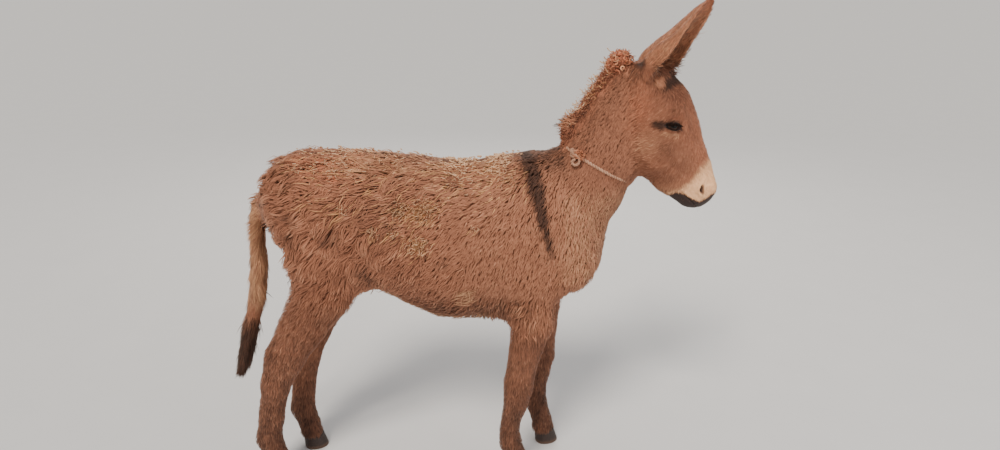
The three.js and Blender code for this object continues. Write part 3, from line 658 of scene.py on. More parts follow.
def markings(p):
    """Shares of pale, dark, rusty and chaffy hair and of bare black skin; pale also holds painted light and
    dark painted shade.
    """
    s, d = head_coords(p)
    x, y, z = p[:, 0], np.abs(p[:, 1]), p[:, 2]
    r = regions(p)
    face = r["head"]
    rough = wobble(p, 0.040, 3) * 0.0026
    # The pale muzzle, the jaw lighter with painted light, and the pale belly.
    edge = np.interp(d, [-0.09, -0.042, -0.013, 0.009, 0.024], [0.300, 0.303, 0.291, 0.284, 0.288]) + rough
    pale = smooth(edge - 0.010, edge + 0.013, s) * face
    below_eye = line_distance(s, d, [(0.146, -0.030), (0.158, -0.019), (0.172, -0.003)])
    pale = np.maximum(pale, 0.34 * smooth(0.0050, 0.0010, below_eye) * face * (y > 0.04))
    pale = np.maximum(pale, 0.16 * bump(np.hypot(s - 0.146, d + 0.079), 0.026) * face)
    belly = 0.5 * smooth(0.62, 0.57, z) * smooth(0.08, 0.04, y)
    pale = np.maximum(pale, belly * smooth(-0.32, -0.25, x) * smooth(0.16, 0.1, x))
    # Black lips and nostrils.
    tip = 0.562 * (s - 0.352) - 0.827 * (d + 0.051) + rough
    black = face * smooth(-0.003, 0.004, tip) * smooth(0.303, 0.314, s) * (d < -0.045)
    edge = np.interp(d, [-0.06, -0.036, -0.011, 0.0, 0.02], [0.358, 0.361, 0.3625, 0.366, 0.378])
    black = np.maximum(black, face * smooth(-0.003, 0.005, s - edge + rough) * (d > -0.07))
    u, w = nostril_place(s, d)
    black = np.maximum(black, 0.8 * face * smooth(0.0072, 0.0030, np.hypot(u / 2.3, w)) * (y > 0.012))
    pale *= 1 - black
    # The dorsal stripe, the cross over the shoulders with a lead rope's painted shadow at its lower end, and
    # the legs.
    dark = 0.75 * smooth(0.006, 0.002, y) * (z > 0.88) * (x < 0.25) * (x > -0.5)
    stripe = line_distance(x, z, SHOULDER_STRIPE_AND_ROPE_SHADOW)
    wide = 0.008 + 0.009 * smooth(0.72, 0.90, z)
    cross = smooth(wide + 0.006, wide - 0.004, stripe + 0.6 * rough) * smooth(0.69, 0.75, z) * 0.93
    dark = np.maximum(dark, cross)
    withers = smooth(0.905, 0.935, z + rough) * smooth(0.155, 0.175, x + rough) * smooth(0.285, 0.265, x)
    dark = np.maximum(dark, 0.62 * withers)
    legs = np.maximum(r["fore"], r["hind"])
    downwards = 0.16 + 0.20 * smooth(0.58, 0.42, z) + 0.32 * smooth(0.42, 0.10, z) + 0.10 * wobble(p, 0.07, 5)
    dark = np.maximum(dark, legs * downwards)
    # Ears: rusty backs lightened with painted light, dark tips, and a dark patch behind the root that is
    # partly dark hair and partly painted shade where ear and mane meet.
    ear = smooth(1.165, 1.19, z) * (x > 0.45)
    pale = np.maximum(pale, 0.24 * ear * smooth(1.33, 1.28, z))
    ear_tip = smooth(1.29, 1.34, z) * (x > 0.5)
    dark = np.maximum(dark, 0.7 * ear_tip)
    root = bump(np.hypot(x - 0.440, (z - 1.178) / 1.2), 0.0135)
    root = np.maximum(root, 0.5 * bump(np.hypot(x - 0.436, (z - 1.156) / 1.5), 0.011))
    dark = np.maximum(dark, 1.1 * root * smooth(0.008, 0.018, y))
    # Face: the dark forelock's foot, painted shade in the hollow of the cheek and along the front line of the
    # face.
    brow = line_distance(s, d, [(0.046, 0.034), (0.056, 0.060), (0.066, 0.080)])
    dark = np.maximum(dark, 0.96 * smooth(0.025, 0.009, brow + rough) * face)
    dark = np.maximum(dark, 0.30 * bump(np.hypot((s - 0.186) / 1.4, d + 0.044), 0.020) * face * (y > 0.03))
    nose_shade_line = line_distance(s, d, [(0.135, 0.034), (0.175, 0.029), (0.215, 0.030)])
    dark = np.maximum(dark, 0.24 * bump(nose_shade_line, 0.009) * face)
    # Eyes: black rims and corners, painted shade under the lashes, and a dark band behind them that is partly
    # dark hair and partly painted shade under the brow.
    eye = np.zeros(len(p))
    for side in SIDES.values():
        e = lid_place(p, side)
        upper, lower = slit_edges(e["lon"])
        away = np.maximum(np.maximum(e["lat"] - upper - 2, lower - e["lat"]), np.abs(e["lon"]) - SLIT - 1)
        rim = smooth(8.0, 3.0, away) * smooth(0.0262, 0.0235, e["radius"])
        corner = smooth(0.0046, 0.0016, line_distance(e["a"], e["b"], FRONT_CORNER))
        eye = np.maximum(eye, np.maximum(rim, corner) * e["near"])
        behind = np.hypot((e["a"] + 0.029) / 2.1, e["b"] - 0.0025 + 0.08 * (e["a"] + 0.029)) + 0.2 * rough
        outer_side = e["u"] @ eye_frame(side)[3] > 0
        dark = np.maximum(dark, 0.94 * smooth(0.0150, 0.0070, behind) * (e["a"] < -0.004) * outer_side)
        lash_shade = smooth(0.0062, 0.0020, line_distance(e["a"], e["b"], LASH_LINE))
        dark = np.maximum(dark, 0.75 * lash_shade * e["near"])
    black = np.maximum(black, eye)
    # Neck and crest, cheek and croup: rusty hair and a darker crest side.
    over_neck = (z - 0.812) * 0.54 - (x - 0.252) * 0.84
    behind = smooth(-0.02, 0.03, over_neck)
    rust = (0.25 * smooth(0.03, 0.0, y) + 0.05 * smooth(0.97, 1.05, z)) * r["neck"] * behind
    crest_side = smooth(0.0, 0.05, over_neck) * (z > 0.9)
    dark = np.maximum(dark, r["neck"] * (0.15 + 0.15 * crest_side + 0.05 * wobble(p, 0.05, 41)))
    rust = np.maximum(rust, 0.35 * bump(np.hypot(x - 0.445, (z - 1.08) / 2.0), 0.035) * (y > 0.03))
    rust = np.maximum(rust, 0.3 * smooth(-0.03, 0.05, d) * face * (1 - pale))
    rust = np.maximum(rust, 1.0 * ear)
    croup = 0.75 * bump(np.hypot((x + 0.30) / 1.8, z - 0.925), 0.045) * smooth(-0.2, 0.6, wobble(p, 0.04, 21))
    rust = np.maximum(rust, croup * (p[:, 1] < 0.06))
    dark = np.maximum(dark, 0.54 * smooth(-0.015, 0.035, d) * face * smooth(0.19, 0.09, s))
    # Painted shade on the underside and in the flank fold, painted light on the top and the chest, and the
    # tail.
    # Painted shade under the belly.
    under = smooth(0.615, 0.56, z + 0.012 * wobble(p, 0.05, 31))
    under = under * smooth(-0.16, -0.08, x) * smooth(0.24, 0.14, x) * (1 - legs)
    dark = np.maximum(dark, 0.42 * under)
    # Painted shadow in the fold between flank and thigh.
    flank = np.hypot((x + 0.231 + 0.3 * (z - 0.672)) / 0.8, (z - 0.672) / 1.6)
    dark = np.maximum(dark, 0.72 * bump(flank, 0.021))
    # Painted light on the top of the back and on the chest.
    top = smooth(0.885, 0.93, z) * smooth(0.15, 0.10, x) * smooth(-0.34, -0.22, x)
    top = top * (1 - r["tail"]) * (y > 0.008)
    chest = smooth(0.23, 0.29, x) * smooth(0.90, 0.84, z) * smooth(0.60, 0.66, z) * (1 - legs)
    pale = np.maximum(pale, np.maximum(0.16 * top, 0.15 * chest))
    pale = np.maximum(pale, 0.03 * (1 - face) * (1 - r["neck"]) * (1 - legs) * smooth(-0.1, 0.1, x))
    pale = np.maximum(pale, 0.34 * r["tail"] * smooth(0.52, 0.58, z))
    tail_end = r["tail"] * smooth(0.50, 0.42, z)
    dark = np.maximum(dark * (1 - r["tail"]), tail_end * 0.9)
    # Painted shade in the partings of the right side, and chaff.
    near_side = smooth(0.06, 0.02, p[:, 1])
    for spot_x, spot_z, size in LOCK_SHADOWS:
        dark = np.maximum(dark, 0.62 * bump(np.hypot((x - spot_x) / 1.5, z - spot_z), size) * near_side)
    dark = np.maximum(dark, 0.16 * bump(np.hypot(x + 0.205, z - 0.815), 0.055) * near_side)
    straw = 0.26 * smooth(0.78, 0.90, z) * smooth(0.10, 0.0, x) * smooth(-0.2, 0.5, wobble(p, 0.055, 12))
    for spot_x, spot_z, size, share in CHAFF:
        straw = np.maximum(straw, share * bump(np.hypot((x - spot_x) / 1.3, z - spot_z), size))
    straw = straw * smooth(-0.46, -0.38, x) * (1 - face) * (1 - r["neck"]) * near_side
    marks = {"pale": pale, "dark": dark, "rust": rust, "black": black, "straw": straw}
    return {name: np.clip(values, 0, 1) for name, values in marks.items()}


MARKS = markings(V)
MARKS["black"] = np.maximum(MARKS["black"], smooth(0.05, 0.6, HOLE))
for name, values in MARKS.items():
    set_attribute(skin_mesh, name, values)
set_attribute(skin_mesh, "along", np.full(len(V), 0.55))
# The ears' skin gets a lighter tone: painted light on the ear backs.
set_attribute(skin_mesh, "shade", 0.5 + 0.40 * smooth(1.165, 1.20, V[:, 2]) * (V[:, 0] > 0.45))
print({name: round(float(values.mean()), 3) for name, values in MARKS.items()})

# %% [markdown]
# ## Which way the hair lies
# A coat runs from the face backwards, down the neck and limbs, and down and back over the barrel. Named
# anchors give the direction at a few places and a weighted mean carries it over the whole hide.

# %% The lie of the coat
ANCHORS = {
    "back": ((0.00, 0.03, 0.93), (-0.95, 0.20, -0.15), 0.13),
    "loin": ((-0.25, 0.04, 0.93), (-0.95, 0.22, -0.15), 0.12),
    "croup": ((-0.40, 0.03, 0.94), (-0.94, 0.20, -0.22), 0.09),
    "haunch": ((-0.45, 0.10, 0.82), (-0.86, 0.05, -0.50), 0.09),
    "buttock": ((-0.49, 0.05, 0.72), (-0.62, 0.12, -0.78), 0.08),
    "thigh": ((-0.40, 0.11, 0.66), (-0.70, 0.0, -0.72), 0.08),
    "side_high": ((-0.10, 0.14, 0.82), (-0.75, 0.05, -0.62), 0.13),
    "side_low": ((-0.10, 0.14, 0.66), (-0.62, 0.0, -0.78), 0.10),
    "girth": ((0.12, 0.12, 0.66), (-0.45, 0.0, -0.89), 0.10),
    "flank": ((-0.27, 0.12, 0.72), (-0.35, 0.0, -0.93), 0.08),
    "belly": ((-0.08, 0.03, 0.53), (-0.75, 0.35, -0.35), 0.08),
    "shoulder": ((0.21, 0.11, 0.76), (-0.30, 0.02, -0.95), 0.11),
    "withers": ((0.17, 0.02, 0.93), (-0.80, 0.40, -0.45), 0.06),
    "chest": ((0.33, 0.03, 0.72), (-0.05, 0.10, -0.99), 0.09),
    "neck_low": ((0.30, 0.08, 0.90), (-0.45, 0.05, -0.89), 0.09),
    "neck_high": ((0.38, 0.07, 1.05), (-0.50, 0.05, -0.86), 0.09),
    "throat": ((0.42, 0.02, 0.95), (-0.30, 0.20, -0.93), 0.05),
    "fore": ((0.15, 0.08, 0.30), (-0.08, 0.0, -1.0), 0.20),
    "hind_high": ((-0.42, 0.10, 0.52), (-0.52, 0.0, -0.85), 0.09),
    "hind_low": ((-0.53, 0.08, 0.25), (-0.18, 0.0, -0.98), 0.15),
    "tail": ((-0.57, 0.0, 0.65), (-0.12, 0.0, -0.99), 0.06),
}
# In the head's frame: s, d, y, then the direction in s, d, y.
FACE_ANCHORS = {
    "brow": ((0.060, 0.060, 0.02), (0.95, 0.10, 0.20), 0.05),
    "bridge": ((0.220, 0.040, 0.01), (1.0, -0.10, 0.05), 0.07),
    "nose": ((0.320, 0.020, 0.02), (0.95, -0.25, 0.05), 0.05),
    "temple": ((0.090, 0.010, 0.06), (0.35, -0.90, 0.0), 0.04),
    "cheek": ((0.130, -0.060, 0.06), (-0.25, -0.95, 0.0), 0.06),
    "side": ((0.240, -0.020, 0.05), (0.55, -0.80, 0.0), 0.06),
    "jaw": ((0.160, -0.110, 0.03), (-0.55, -0.70, -0.3), 0.05),
    "lip": ((0.350, -0.050, 0.035), (0.75, -0.60, 0.0), 0.04),
    "chin": ((0.345, -0.090, 0.01), (0.65, -0.30, 0.0), 0.04),
}


def lie_of(p, n):
    mirror = np.where(p[:, 1] >= 0, 1.0, -1.0)[:, None] * np.array([[0, 1, 0]]) + np.array([[1, 0, 1]])
    q = p * mirror
    total = np.zeros_like(p)
    c, k = math.cos(HEAD["pitch"]), math.sin(HEAD["pitch"])
    head = beyond(p, HEAD_CUT, 0.03)[:, None]
    for at, way, width in ANCHORS.values():
        w = np.exp(-(((q - np.array(at)) / width) ** 2).sum(1))[:, None] + 1e-9
        total += w * np.array(way) * (1 - head)
    for (s, d, y), (ws, wd, wy), width in FACE_ANCHORS.values():
        at = head_point(s, d, y)
        way = np.array([ws * c + wd * k, wy, -ws * k + wd * c])
        w = np.exp(-(((q - at) / width) ** 2).sum(1))[:, None] + 1e-9
        total += w * way * head
    total = unit(total) * mirror
    for word, side in SIDES.items():
        line, tangent, _, _ = ear_axes(word, EAR_ROWS)
        reach = (p[:, 2] > 1.165) & (p[:, 1] * side > 0.0) & (p[:, 0] > 0.44)
        near = ear_row(line, p[:, 2])
        share = (smooth(1.165, 1.185, p[:, 2]) * reach)[:, None]
        total = total * (1 - share) + tangent[near] * share
    flat = unit(total - n * (total * n).sum(1)[:, None] + 1e-9)
    rough = (1 - head[:, 0]) * smooth(0.45, 0.65, p[:, 2]) * (0.35 + 0.65 * smooth(0.05, -0.25, p[:, 0]))
    angle = (rough * (0.30 * wobble(p, 0.11, 31) + 0.26 * wobble(p, 0.045, 32)))[:, None]
    return flat * np.cos(angle) + np.cross(n, flat) * np.sin(angle)


LIE = lie_of(V, N)
print("lie of the coat at", len(V), "points")

# %% [markdown]
# ## Roots
# Hair is not spread evenly: each region has its own density. Walking the skin's triangles in order and
# dropping a root every so many units of area gives an even spread without clumps or bald spots.

# %% Sow the roots
CORNERS = V[F]
CROSS = np.cross(CORNERS[:, 1] - CORNERS[:, 0], CORNERS[:, 2] - CORNERS[:, 0])
AREA = np.linalg.norm(CROSS, axis=1) / 2
CENTRE = CORNERS.mean(1)
REGION = regions(CENTRE)
EAR_SKIN = smooth(1.168, 1.176, CENTRE[:, 2]) * (CENTRE[:, 0] > 0.445) * (np.abs(CENTRE[:, 1]) > 0.018)


def sow(weight, count, seed):
    """Roots spread evenly over the skin's area times weight, in random order."""
    rng = np.random.default_rng(SEED + seed)
    share = np.cumsum(AREA * weight)
    at = (np.arange(count) + rng.uniform(0, 1, count)) / count * share[-1]
    face = np.searchsorted(share, at)
    face = np.clip(face, 0, len(F) - 1)
    a, b = rng.uniform(0, 1, (2, count))
    flip = a + b > 1
    a, b = np.where(flip, 1 - a, a), np.where(flip, 1 - b, b)
    bary = np.stack([1 - a - b, a, b], 1)

    def carried(values):
        weights = bary[:, :, None] if values.ndim == 2 else bary
        return (values[F[face]] * weights).sum(1)

    order = rng.permutation(count)
    roots = {
        "p": carried(V), "n": unit(carried(N)), "lie": unit(carried(LIE)),
        "uv": (corner_uv[face] * bary[:, :, None]).sum(1),
    }
    for name, values in MARKS.items():
        share = carried(values)
        ragged = share + rng.uniform(-0.5, 0.5, count) * np.clip(4 * share * (1 - share), 0, 1) * 0.7
        if name == "straw":
            ragged = (rng.uniform(0, 1, count) < 0.75 * share) * rng.uniform(0.4, 1.0, count)
        roots[name] = np.clip(ragged, 0, 1)
    return {name: values[order] for name, values in roots.items()}


# %% [markdown]
# ## Tufts
# Each tuft is a thin closed blade of three sides. It leaves the skin, rises to its share of the coat's
# depth and then lies along the body. Tips are drawn to shared points, which makes the locks of a woolly
# coat, and each lock has its own bend and tone.

# %% Grow tufts from roots
COAT_PIECES = {}
# Every tuft has a small patch of the texture to itself, this wide.
PATCH = 0.003


def nearest(points, centres):
    """For each point, the number of the centre next to it."""
    tree = KDTree(len(centres))
    for i, c in enumerate(centres):
        tree.insert(c, i)
    tree.balance()
    return np.array([tree.find(p)[1] for p in points])


FIRST_CORNER = np.full(len(V), -1)
FIRST_CORNER[F.ravel()] = np.arange(F.size)


def patch_of(p):
    """The place in the skin's own unwrapping next to each point."""
    return corner_uv.reshape(-1, 2)[FIRST_CORNER[nearest(p, V[::4]) * 4]].astype(float)


def coat_piece(mesh, faces, uv, tag, tone, marks):
    """Make a coat piece of a mesh of many like tufts, with its texture places, tone and marks."""
    count, size = tag.shape
    layer = mesh.uv_layers.new(name="OFBake")
    layer.data.foreach_set("uv", uv.reshape(-1, 2)[faces.ravel()].astype(np.float32).ravel())
    set_attribute(mesh, "along", tag.ravel())
    set_attribute(mesh, "shade", np.repeat(tone, size))
    for mark in MARKS:
        set_attribute(mesh, mark, np.repeat(marks[mark], size))
    obj = object_of(mesh)
    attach(obj, "root")
    COAT_PIECES[obj.name] = obj
    print(f"{obj.name}: {count} tufts, {len(faces)} triangles")
    return obj


def grow(name, roots, length, width, lift, rings=3, clump=0, pull=0.7, curl=0.2, spread=0.25,
         droop=0.0, seed=0, slot="coat", flat=0.45, buried=0.0015, stray=0.0, soft=0.65, even=0.0, light=0.0):
    """A piece of closed three-sided tufts.

    length, width and lift are metres, per root or one value. clump is the number of tufts in a lock, and
    pull how far their tips go to the lock's own. even levels lift and tone, and light is added to the tone
    as painted light.
    """
    rng = np.random.default_rng(SEED + 100 + seed)
    p, n, lie = roots["p"], roots["n"], roots["lie"]
    count = len(p)
    length, width, lift, pull, curl = (np.broadcast_to(v, count) for v in (length, width, lift, pull, curl))
    side = np.cross(n, lie)
    turn = rng.normal(0, spread, count)[:, None]
    lie = unit(lie * np.cos(turn) + side * np.sin(turn))
    side = np.cross(n, lie)
    length = length * rng.uniform(0.72, 1.22, count)
    height = lift * (rng.uniform(0.55, 1.05, count) * (1 - even) + 0.92 * even)
    proud = rng.uniform(0, 1, count) < stray
    height = np.where(proud, height * 1.5 + 0.002, height)
    steps = np.linspace(0, 1, rings + 1)
    bend = rng.normal(0, 1, count) * curl
    phase = rng.uniform(0, 2 * math.pi, count)
    path = []
    for t in steps:
        rise = height * math.sin(min(t / 0.75, 1) * math.pi / 2) - buried * (1 - min(t * 4, 1))
        rise = rise - 0.10 * height * max(t - 0.75, 0) * 4
        ahead = length * (t - 0.06 * math.sin(math.pi * t))
        sway = length * (bend * t * t + 0.35 * curl * np.sin(2.2 * math.pi * t + phase) * t)
        path.append(
            p + n * rise[:, None] + lie * ahead[:, None] + side * sway[:, None]
            - np.array([0, 0, 1.0]) * (droop * length * t * t)[:, None]
        )
    path = np.stack(path, 1)
    tone = rng.uniform(0, 1, count)
    if clump:
        heads = max(count // clump, 1)
        centres = rng.choice(count, heads, replace=False)
        mine = centres[nearest(p, p[centres])]
        share = rng.uniform(0.75, 1.1, count)[:, None, None]
        path = path + (path[mine] - path) * (pull[:, None, None] * steps[None, :, None] ** 1.4 * share)
        tone = 0.55 * tone[mine] + 0.45 * tone
    tone = tone * (1 - even) + 0.42 * even + light
    along = unit(np.gradient(path, axis=1))
    across = unit(np.cross(n[:, None, :], along))
    up = np.cross(along, across)
    taper = np.interp(steps, [0, 0.35, 0.75, 1.0], [0.8, 1.0, 0.72, 0.0])
    verts, tag, uv = [], [], []
    for i in range(rings):
        w = (width * taper[i])[:, None]
        for a, b in ((-0.5, 0.0), (0.5, 0.0), (0.0, flat)):
            verts.append(path[:, i] + across[:, i] * w * a + up[:, i] * w * b)
            tag.append(np.full(count, steps[i]))
            uv.append(roots["uv"] + PATCH * np.array([a, steps[i] - 0.5]))
    verts.append(path[:, rings])
    tag.append(np.ones(count))
    uv.append(roots["uv"] + PATCH * np.array([0.0, 0.5]))
    verts = np.stack(verts, 1)
    size = verts.shape[1]
    faces = [(0, 2, 1)]
    for i in range(rings - 1):
        for a, b in ((0, 1), (1, 2), (2, 0)):
            a0, b0 = i * 3 + a, i * 3 + b
            faces += [(a0, b0, b0 + 3), (a0, b0 + 3, a0 + 3)]
    last = (rings - 1) * 3
    faces += [(last + a, last + b, size - 1) for a, b in ((0, 1), (1, 2), (2, 0))]
    faces = (np.arange(count)[:, None, None] * size + np.array(faces)[None]).reshape(-1, 3)
    mesh = mesh_of(name, verts.reshape(-1, 3), faces)
    own = normals_of(verts.reshape(-1, 3), faces)
    calm = unit(own * (1 - soft) + np.repeat(n, size, axis=0) * soft)
    mesh.normals_split_custom_set_from_vertices(calm.tolist())
    return coat_piece(mesh, faces, np.stack(uv, 1), np.stack(tag, 1), tone, roots)


# %% [markdown]
# Trunk, rump and flank carry the longest wool, with hanging fringes under the belly. Neck and shoulders
# are shorter, the legs shorter again and the face short and smooth.

# %% The coat of trunk, neck, legs, tail and head
trunk_share = np.ones(len(F))
for part in ("head", "neck", "fore", "hind", "tail"):
    trunk_share = trunk_share * (1 - REGION[part])
leg_share = np.maximum(REGION["fore"], REGION["hind"])
front = smooth(-0.12, 0.0, CENTRE[:, 0])


def region_coat(name, weight, count, seed, **measures):
    """Sow and grow the coat of one region. A measure may be a function of the place."""
    roots = sow(weight, count, seed)
    measures = {key: value(roots["p"]) if callable(value) else value for key, value in measures.items()}
    return grow(name, roots, seed=seed, **measures)


def shag(p):
    """1 on the woolly back, rump and thigh, 0 on the smoother ribs and shoulder."""
    rump = smooth(-0.08, -0.26, p[:, 0]) * smooth(0.60, 0.72, p[:, 2])
    back = smooth(0.83, 0.89, p[:, 2]) * smooth(0.18, 0.10, p[:, 0])
    chest = 0.7 * smooth(0.22, 0.30, p[:, 0]) * smooth(0.055, 0.02, np.abs(p[:, 1]))
    fringe = 0.6 * smooth(0.58, 0.53, p[:, 2])
    return np.clip(np.maximum.reduce([rump, back, chest, fringe]) + 0.15 * wobble(p, 0.16, 9), 0, 1)


def trunk_length(p):
    return 0.025 + 0.023 * shag(p)


# The collar lies in a plane: a point inside the neck, the way down the throat and the plane's normal.
COLLAR = {"middle": (0.343, 0.0, 0.925), "slope": (0.872, 0.0, -0.489), "normal": (0.489, 0.0, 0.872)}


def pressed(p):
    """Hair is held down where the twine passes over it."""
    away = np.abs((p - np.array(COLLAR["middle"])) @ np.array(COLLAR["normal"]))
    return 1 - 0.45 * bump(away, 0.009) * smooth(0.20, 0.24, p[:, 0])


def wool_lift(p):
    return coat_depth(p) * (0.80 + 0.22 * shag(p)) * pressed(p) * (1 - 0.5 * smooth(0.62, 0.57, p[:, 2]))


def wool_pull(p):
    return 0.35 + 0.45 * shag(p)


def wool_curl(p):
    return 0.09 + 0.12 * shag(p)


def full_lift(p):
    return coat_depth(p) * pressed(p)


def under_lift(p):
    return coat_depth(p) * 0.72


def leg_length(short, more, low, high):
    """Hair that grows longer by more between the heights low and high."""
    return lambda p: short + more * smooth(low, high, p[:, 2])


WOOL = {"length": trunk_length, "pull": wool_pull, "curl": wool_curl}
SLEEK = {"rings": 2, "spread": 0.13, "soft": 0.85, "flat": 0.3}
region_coat("coat_rear", trunk_share * (1 - front), 12000, 1, width=0.0029, lift=wool_lift,
            clump=18, spread=0.24, droop=0.06, stray=0.05, **WOOL)
region_coat("coat_rear_under", trunk_share * (1 - front), 9500, 2, width=0.0034, lift=under_lift,
            rings=2, clump=8, spread=0.30, **WOOL)
region_coat("coat_front", trunk_share * front, 17500, 3, width=0.0031, lift=wool_lift,
            clump=9, droop=0.04, even=0.55, **SLEEK, **WOOL)
region_coat("coat_front_under", trunk_share * front, 7500, 4, width=0.0042, lift=under_lift,
            rings=2, clump=7, spread=0.22, **WOOL)
region_coat("coat_neck", REGION["neck"] * (CENTRE[:, 2] > 0.6), 12700, 5, length=0.022, width=0.0027,
            lift=full_lift, clump=6, pull=0.30, curl=0.08, even=0.5, **SLEEK)
LEG = {"lift": full_lift, "rings": 2, "clump": 4, "slot": "legs"}
for word, side in SIDES.items():
    mine = smooth(-0.002, 0.002, CENTRE[:, 1] * side)
    region_coat(f"coat_foreleg_{word}", REGION["fore"] * mine, 6200, 6 + side,
                length=leg_length(0.014, 0.010, 0.36, 0.5), width=0.0018,
                pull=0.20, curl=0.05, spread=0.14, **LEG)
    region_coat(f"coat_hindleg_{word}", REGION["hind"] * mine, 9000, 9 + side,
                length=leg_length(0.016, 0.012, 0.36, 0.55), width=0.0019,
                pull=0.25, curl=0.06, spread=0.15, **LEG)
coronet = smooth(0.066, 0.050, CENTRE[:, 2]) * leg_share * smooth(-0.9, -0.5, unit(CROSS)[:, 2])
roots = sow(coronet, 2200, 17)
roots["lie"] = unit(roots["lie"] + 0.30 * roots["n"] - np.array([0, 0, 0.3]))
grow("coat_coronets", roots, 0.0175, 0.0016, 0.0050, rings=2, clump=4, pull=0.2, curl=0.05, spread=0.15,
     seed=17, slot="legs")
tail_share = REGION["tail"] * smooth(0.502, 0.512, CENTRE[:, 2])
region_coat("coat_tail", tail_share, 5200, 12, length=leg_length(0.030, 0.030, 0.80, 0.65), width=0.0017,
            lift=lambda p: coat_depth(p) * 1.05, rings=2, clump=10, pull=0.35, curl=0.05, spread=0.08)
bare = smooth(0.45, 0.8, markings(CENTRE)["black"])
head_share = REGION["head"] * (1 - EAR_SKIN) * (1 - bare)
region_coat("coat_face", head_share, 15500, 13,
            length=lambda p: 0.0125 - 0.007 * smooth(0.26, 0.33, head_coords(p)[0]), width=0.0012,
            lift=lambda p: coat_depth(p) * 0.85, rings=2, curl=0.08, spread=0.16, buried=0.0008, slot="face")
# The ear backs get painted light: light lifts the tone of their hair.
region_coat("coat_ears", EAR_SKIN, 6000, 14, length=0.0115, width=0.0013, lift=0.0018,
            rings=2, curl=0.06, spread=0.15, buried=0.0006, light=0.40)

# %% [markdown]
# Inside the ear long soft hair stands across the opening, thickest at the root, and a pale tuft hangs from
# the notch at its foot. The skin's own normals tell the hollow side of the ear from its back.

# %% Fill the ears with hair
into = np.zeros(len(F))
for word, side in SIDES.items():
    line, _, opening, _ = ear_axes(word, EAR_ROWS)
    mine = (CENTRE[:, 1] * side > 0) & (EAR_SKIN > 0)
    hollow = (unit(CROSS) * opening[ear_row(line, CENTRE[:, 2])]).sum(1)
    into = np.where(mine, smooth(-0.15, 0.25, hollow) * smooth(1.33, 1.25, CENTRE[:, 2]), into)
    into = np.where(mine, into * (1 + 2.5 * smooth(1.22, 1.17, CENTRE[:, 2])), into)
roots = sow(into, 1500, 15)
roots["lie"] = unit(roots["lie"] + 0.5 * roots["n"])
roots["pale"] = np.clip(roots["pale"] + 0.18, 0, 1)
grow("ear_hair", roots, 0.019, 0.0011, 0.0065, rings=3, clump=5, pull=0.4, curl=0.14, spread=0.25, seed=15)
notch = np.zeros(len(F))
for side in SIDES.values():
    at = np.array([0.482, 0.064 * side, 1.143])
    notch = np.maximum(notch, bump(np.linalg.norm(CENTRE - at, axis=1), 0.008))
roots = sow(notch * (1 - EAR_SKIN), 300, 16)
roots["pale"] = np.clip(roots["pale"] + 0.10, 0, 1)
roots["dark"] = roots["dark"] * 0.3
roots["lie"] = unit(roots["lie"] * 0.4 + np.array([0.4, 0.0, -0.6]))
grow("ear_notch_tuft", roots, 0.020, 0.0012, 0.006, rings=3, clump=7, pull=0.5, curl=0.15, spread=0.3,
     seed=16, slot="face")

# %% [markdown]
# ## Mane, forelock and tail tuft
# A young donkey's mane stands up in short rusty curls, with a bun of them at the poll and a tuft that
# sticks out backwards lower down. The forelock is darker and lies forward between the ears. The tail ends
# in a thin dark tuft. Curls are wound tubes, and finer hair fills the space between them.

# %% Curly locks
def frames_along(path):
    way = unit(np.gradient(path, axis=1))
    helper = np.where(np.abs(way[..., 2:3]) > 0.9, np.array([1.0, 0, 0]), np.array([0, 0, 1.0]))
    across = unit(np.cross(way, helper))
    return across, np.cross(way, across)


def tubes(name, path, radius, uv, marks, tone, sides=5):
    """Closed tapered tubes along many paths at once."""
    count, steps = path.shape[:2]
    across, up = frames_along(path)
    verts, tag, patch = [], [], []
    for i in range(steps):
        for k in range(sides):
            a = 2 * math.pi * k / sides
            off = across[:, i] * math.cos(a) + up[:, i] * math.sin(a)
            verts.append(path[:, i] + off * radius[:, i, None])
            tag.append(np.full(count, i / (steps - 1)))
            patch.append(uv + PATCH * np.array([k / sides - 0.5, i / (steps - 1) - 0.5]))
    verts, size = np.stack(verts, 1), steps * sides
    faces = []
    for i in range(steps - 1):
        for k in range(sides):
            p0, p1 = i * sides + k, i * sides + (k + 1) % sides
            faces += [(p0, p1, p1 + sides), (p0, p1 + sides, p0 + sides)]
    last = (steps - 1) * sides
    faces += [(0, k + 1, k) for k in range(1, sides - 1)]
    faces += [(last, last + k, last + k + 1) for k in range(1, sides - 1)]
    faces = (np.arange(count)[:, None, None] * size + np.array(faces)[None]).reshape(-1, 3)
    mesh = mesh_of(name, verts.reshape(-1, 3), faces)
    return coat_piece(mesh, faces, np.stack(patch, 1), np.stack(tag, 1), tone, marks)


def curls(name, p, way, length, thick, wave, turns, marks, seed, steps):
    """Locks that start at p, run along way and wind about it with a growing wave."""
    rng = np.random.default_rng(SEED + 500 + seed)
    count = len(p)
    e1 = unit(np.cross(way, rng.normal(size=(count, 3))))
    e2 = np.cross(way, e1)
    phase = rng.uniform(0, 2 * math.pi, count)[:, None]
    spin = turns * rng.uniform(0.7, 1.3, count)[:, None] * rng.choice([-1, 1], (count, 1))
    t = np.linspace(0, 1, steps)[None, :]
    angle = phase + 2 * math.pi * spin * t
    reach = wave * np.minimum(t * 3, 1)
    path = p[:, None, :] + way[:, None, :] * (length[:, None] * t)[..., None]
    off = e1[:, None, :] * np.cos(angle)[..., None] + e2[:, None, :] * np.sin(angle)[..., None]
    path = path + off * reach[..., None]
    taper = np.interp(t, [0, 0.3, 0.8, 1.0], [0.8, 1.0, 0.7, 0.12])
    radius = thick * taper * rng.uniform(0.7, 1.2, (count, 1))
    return tubes(name, path, radius, patch_of(p), marks, rng.uniform(0, 1, count))


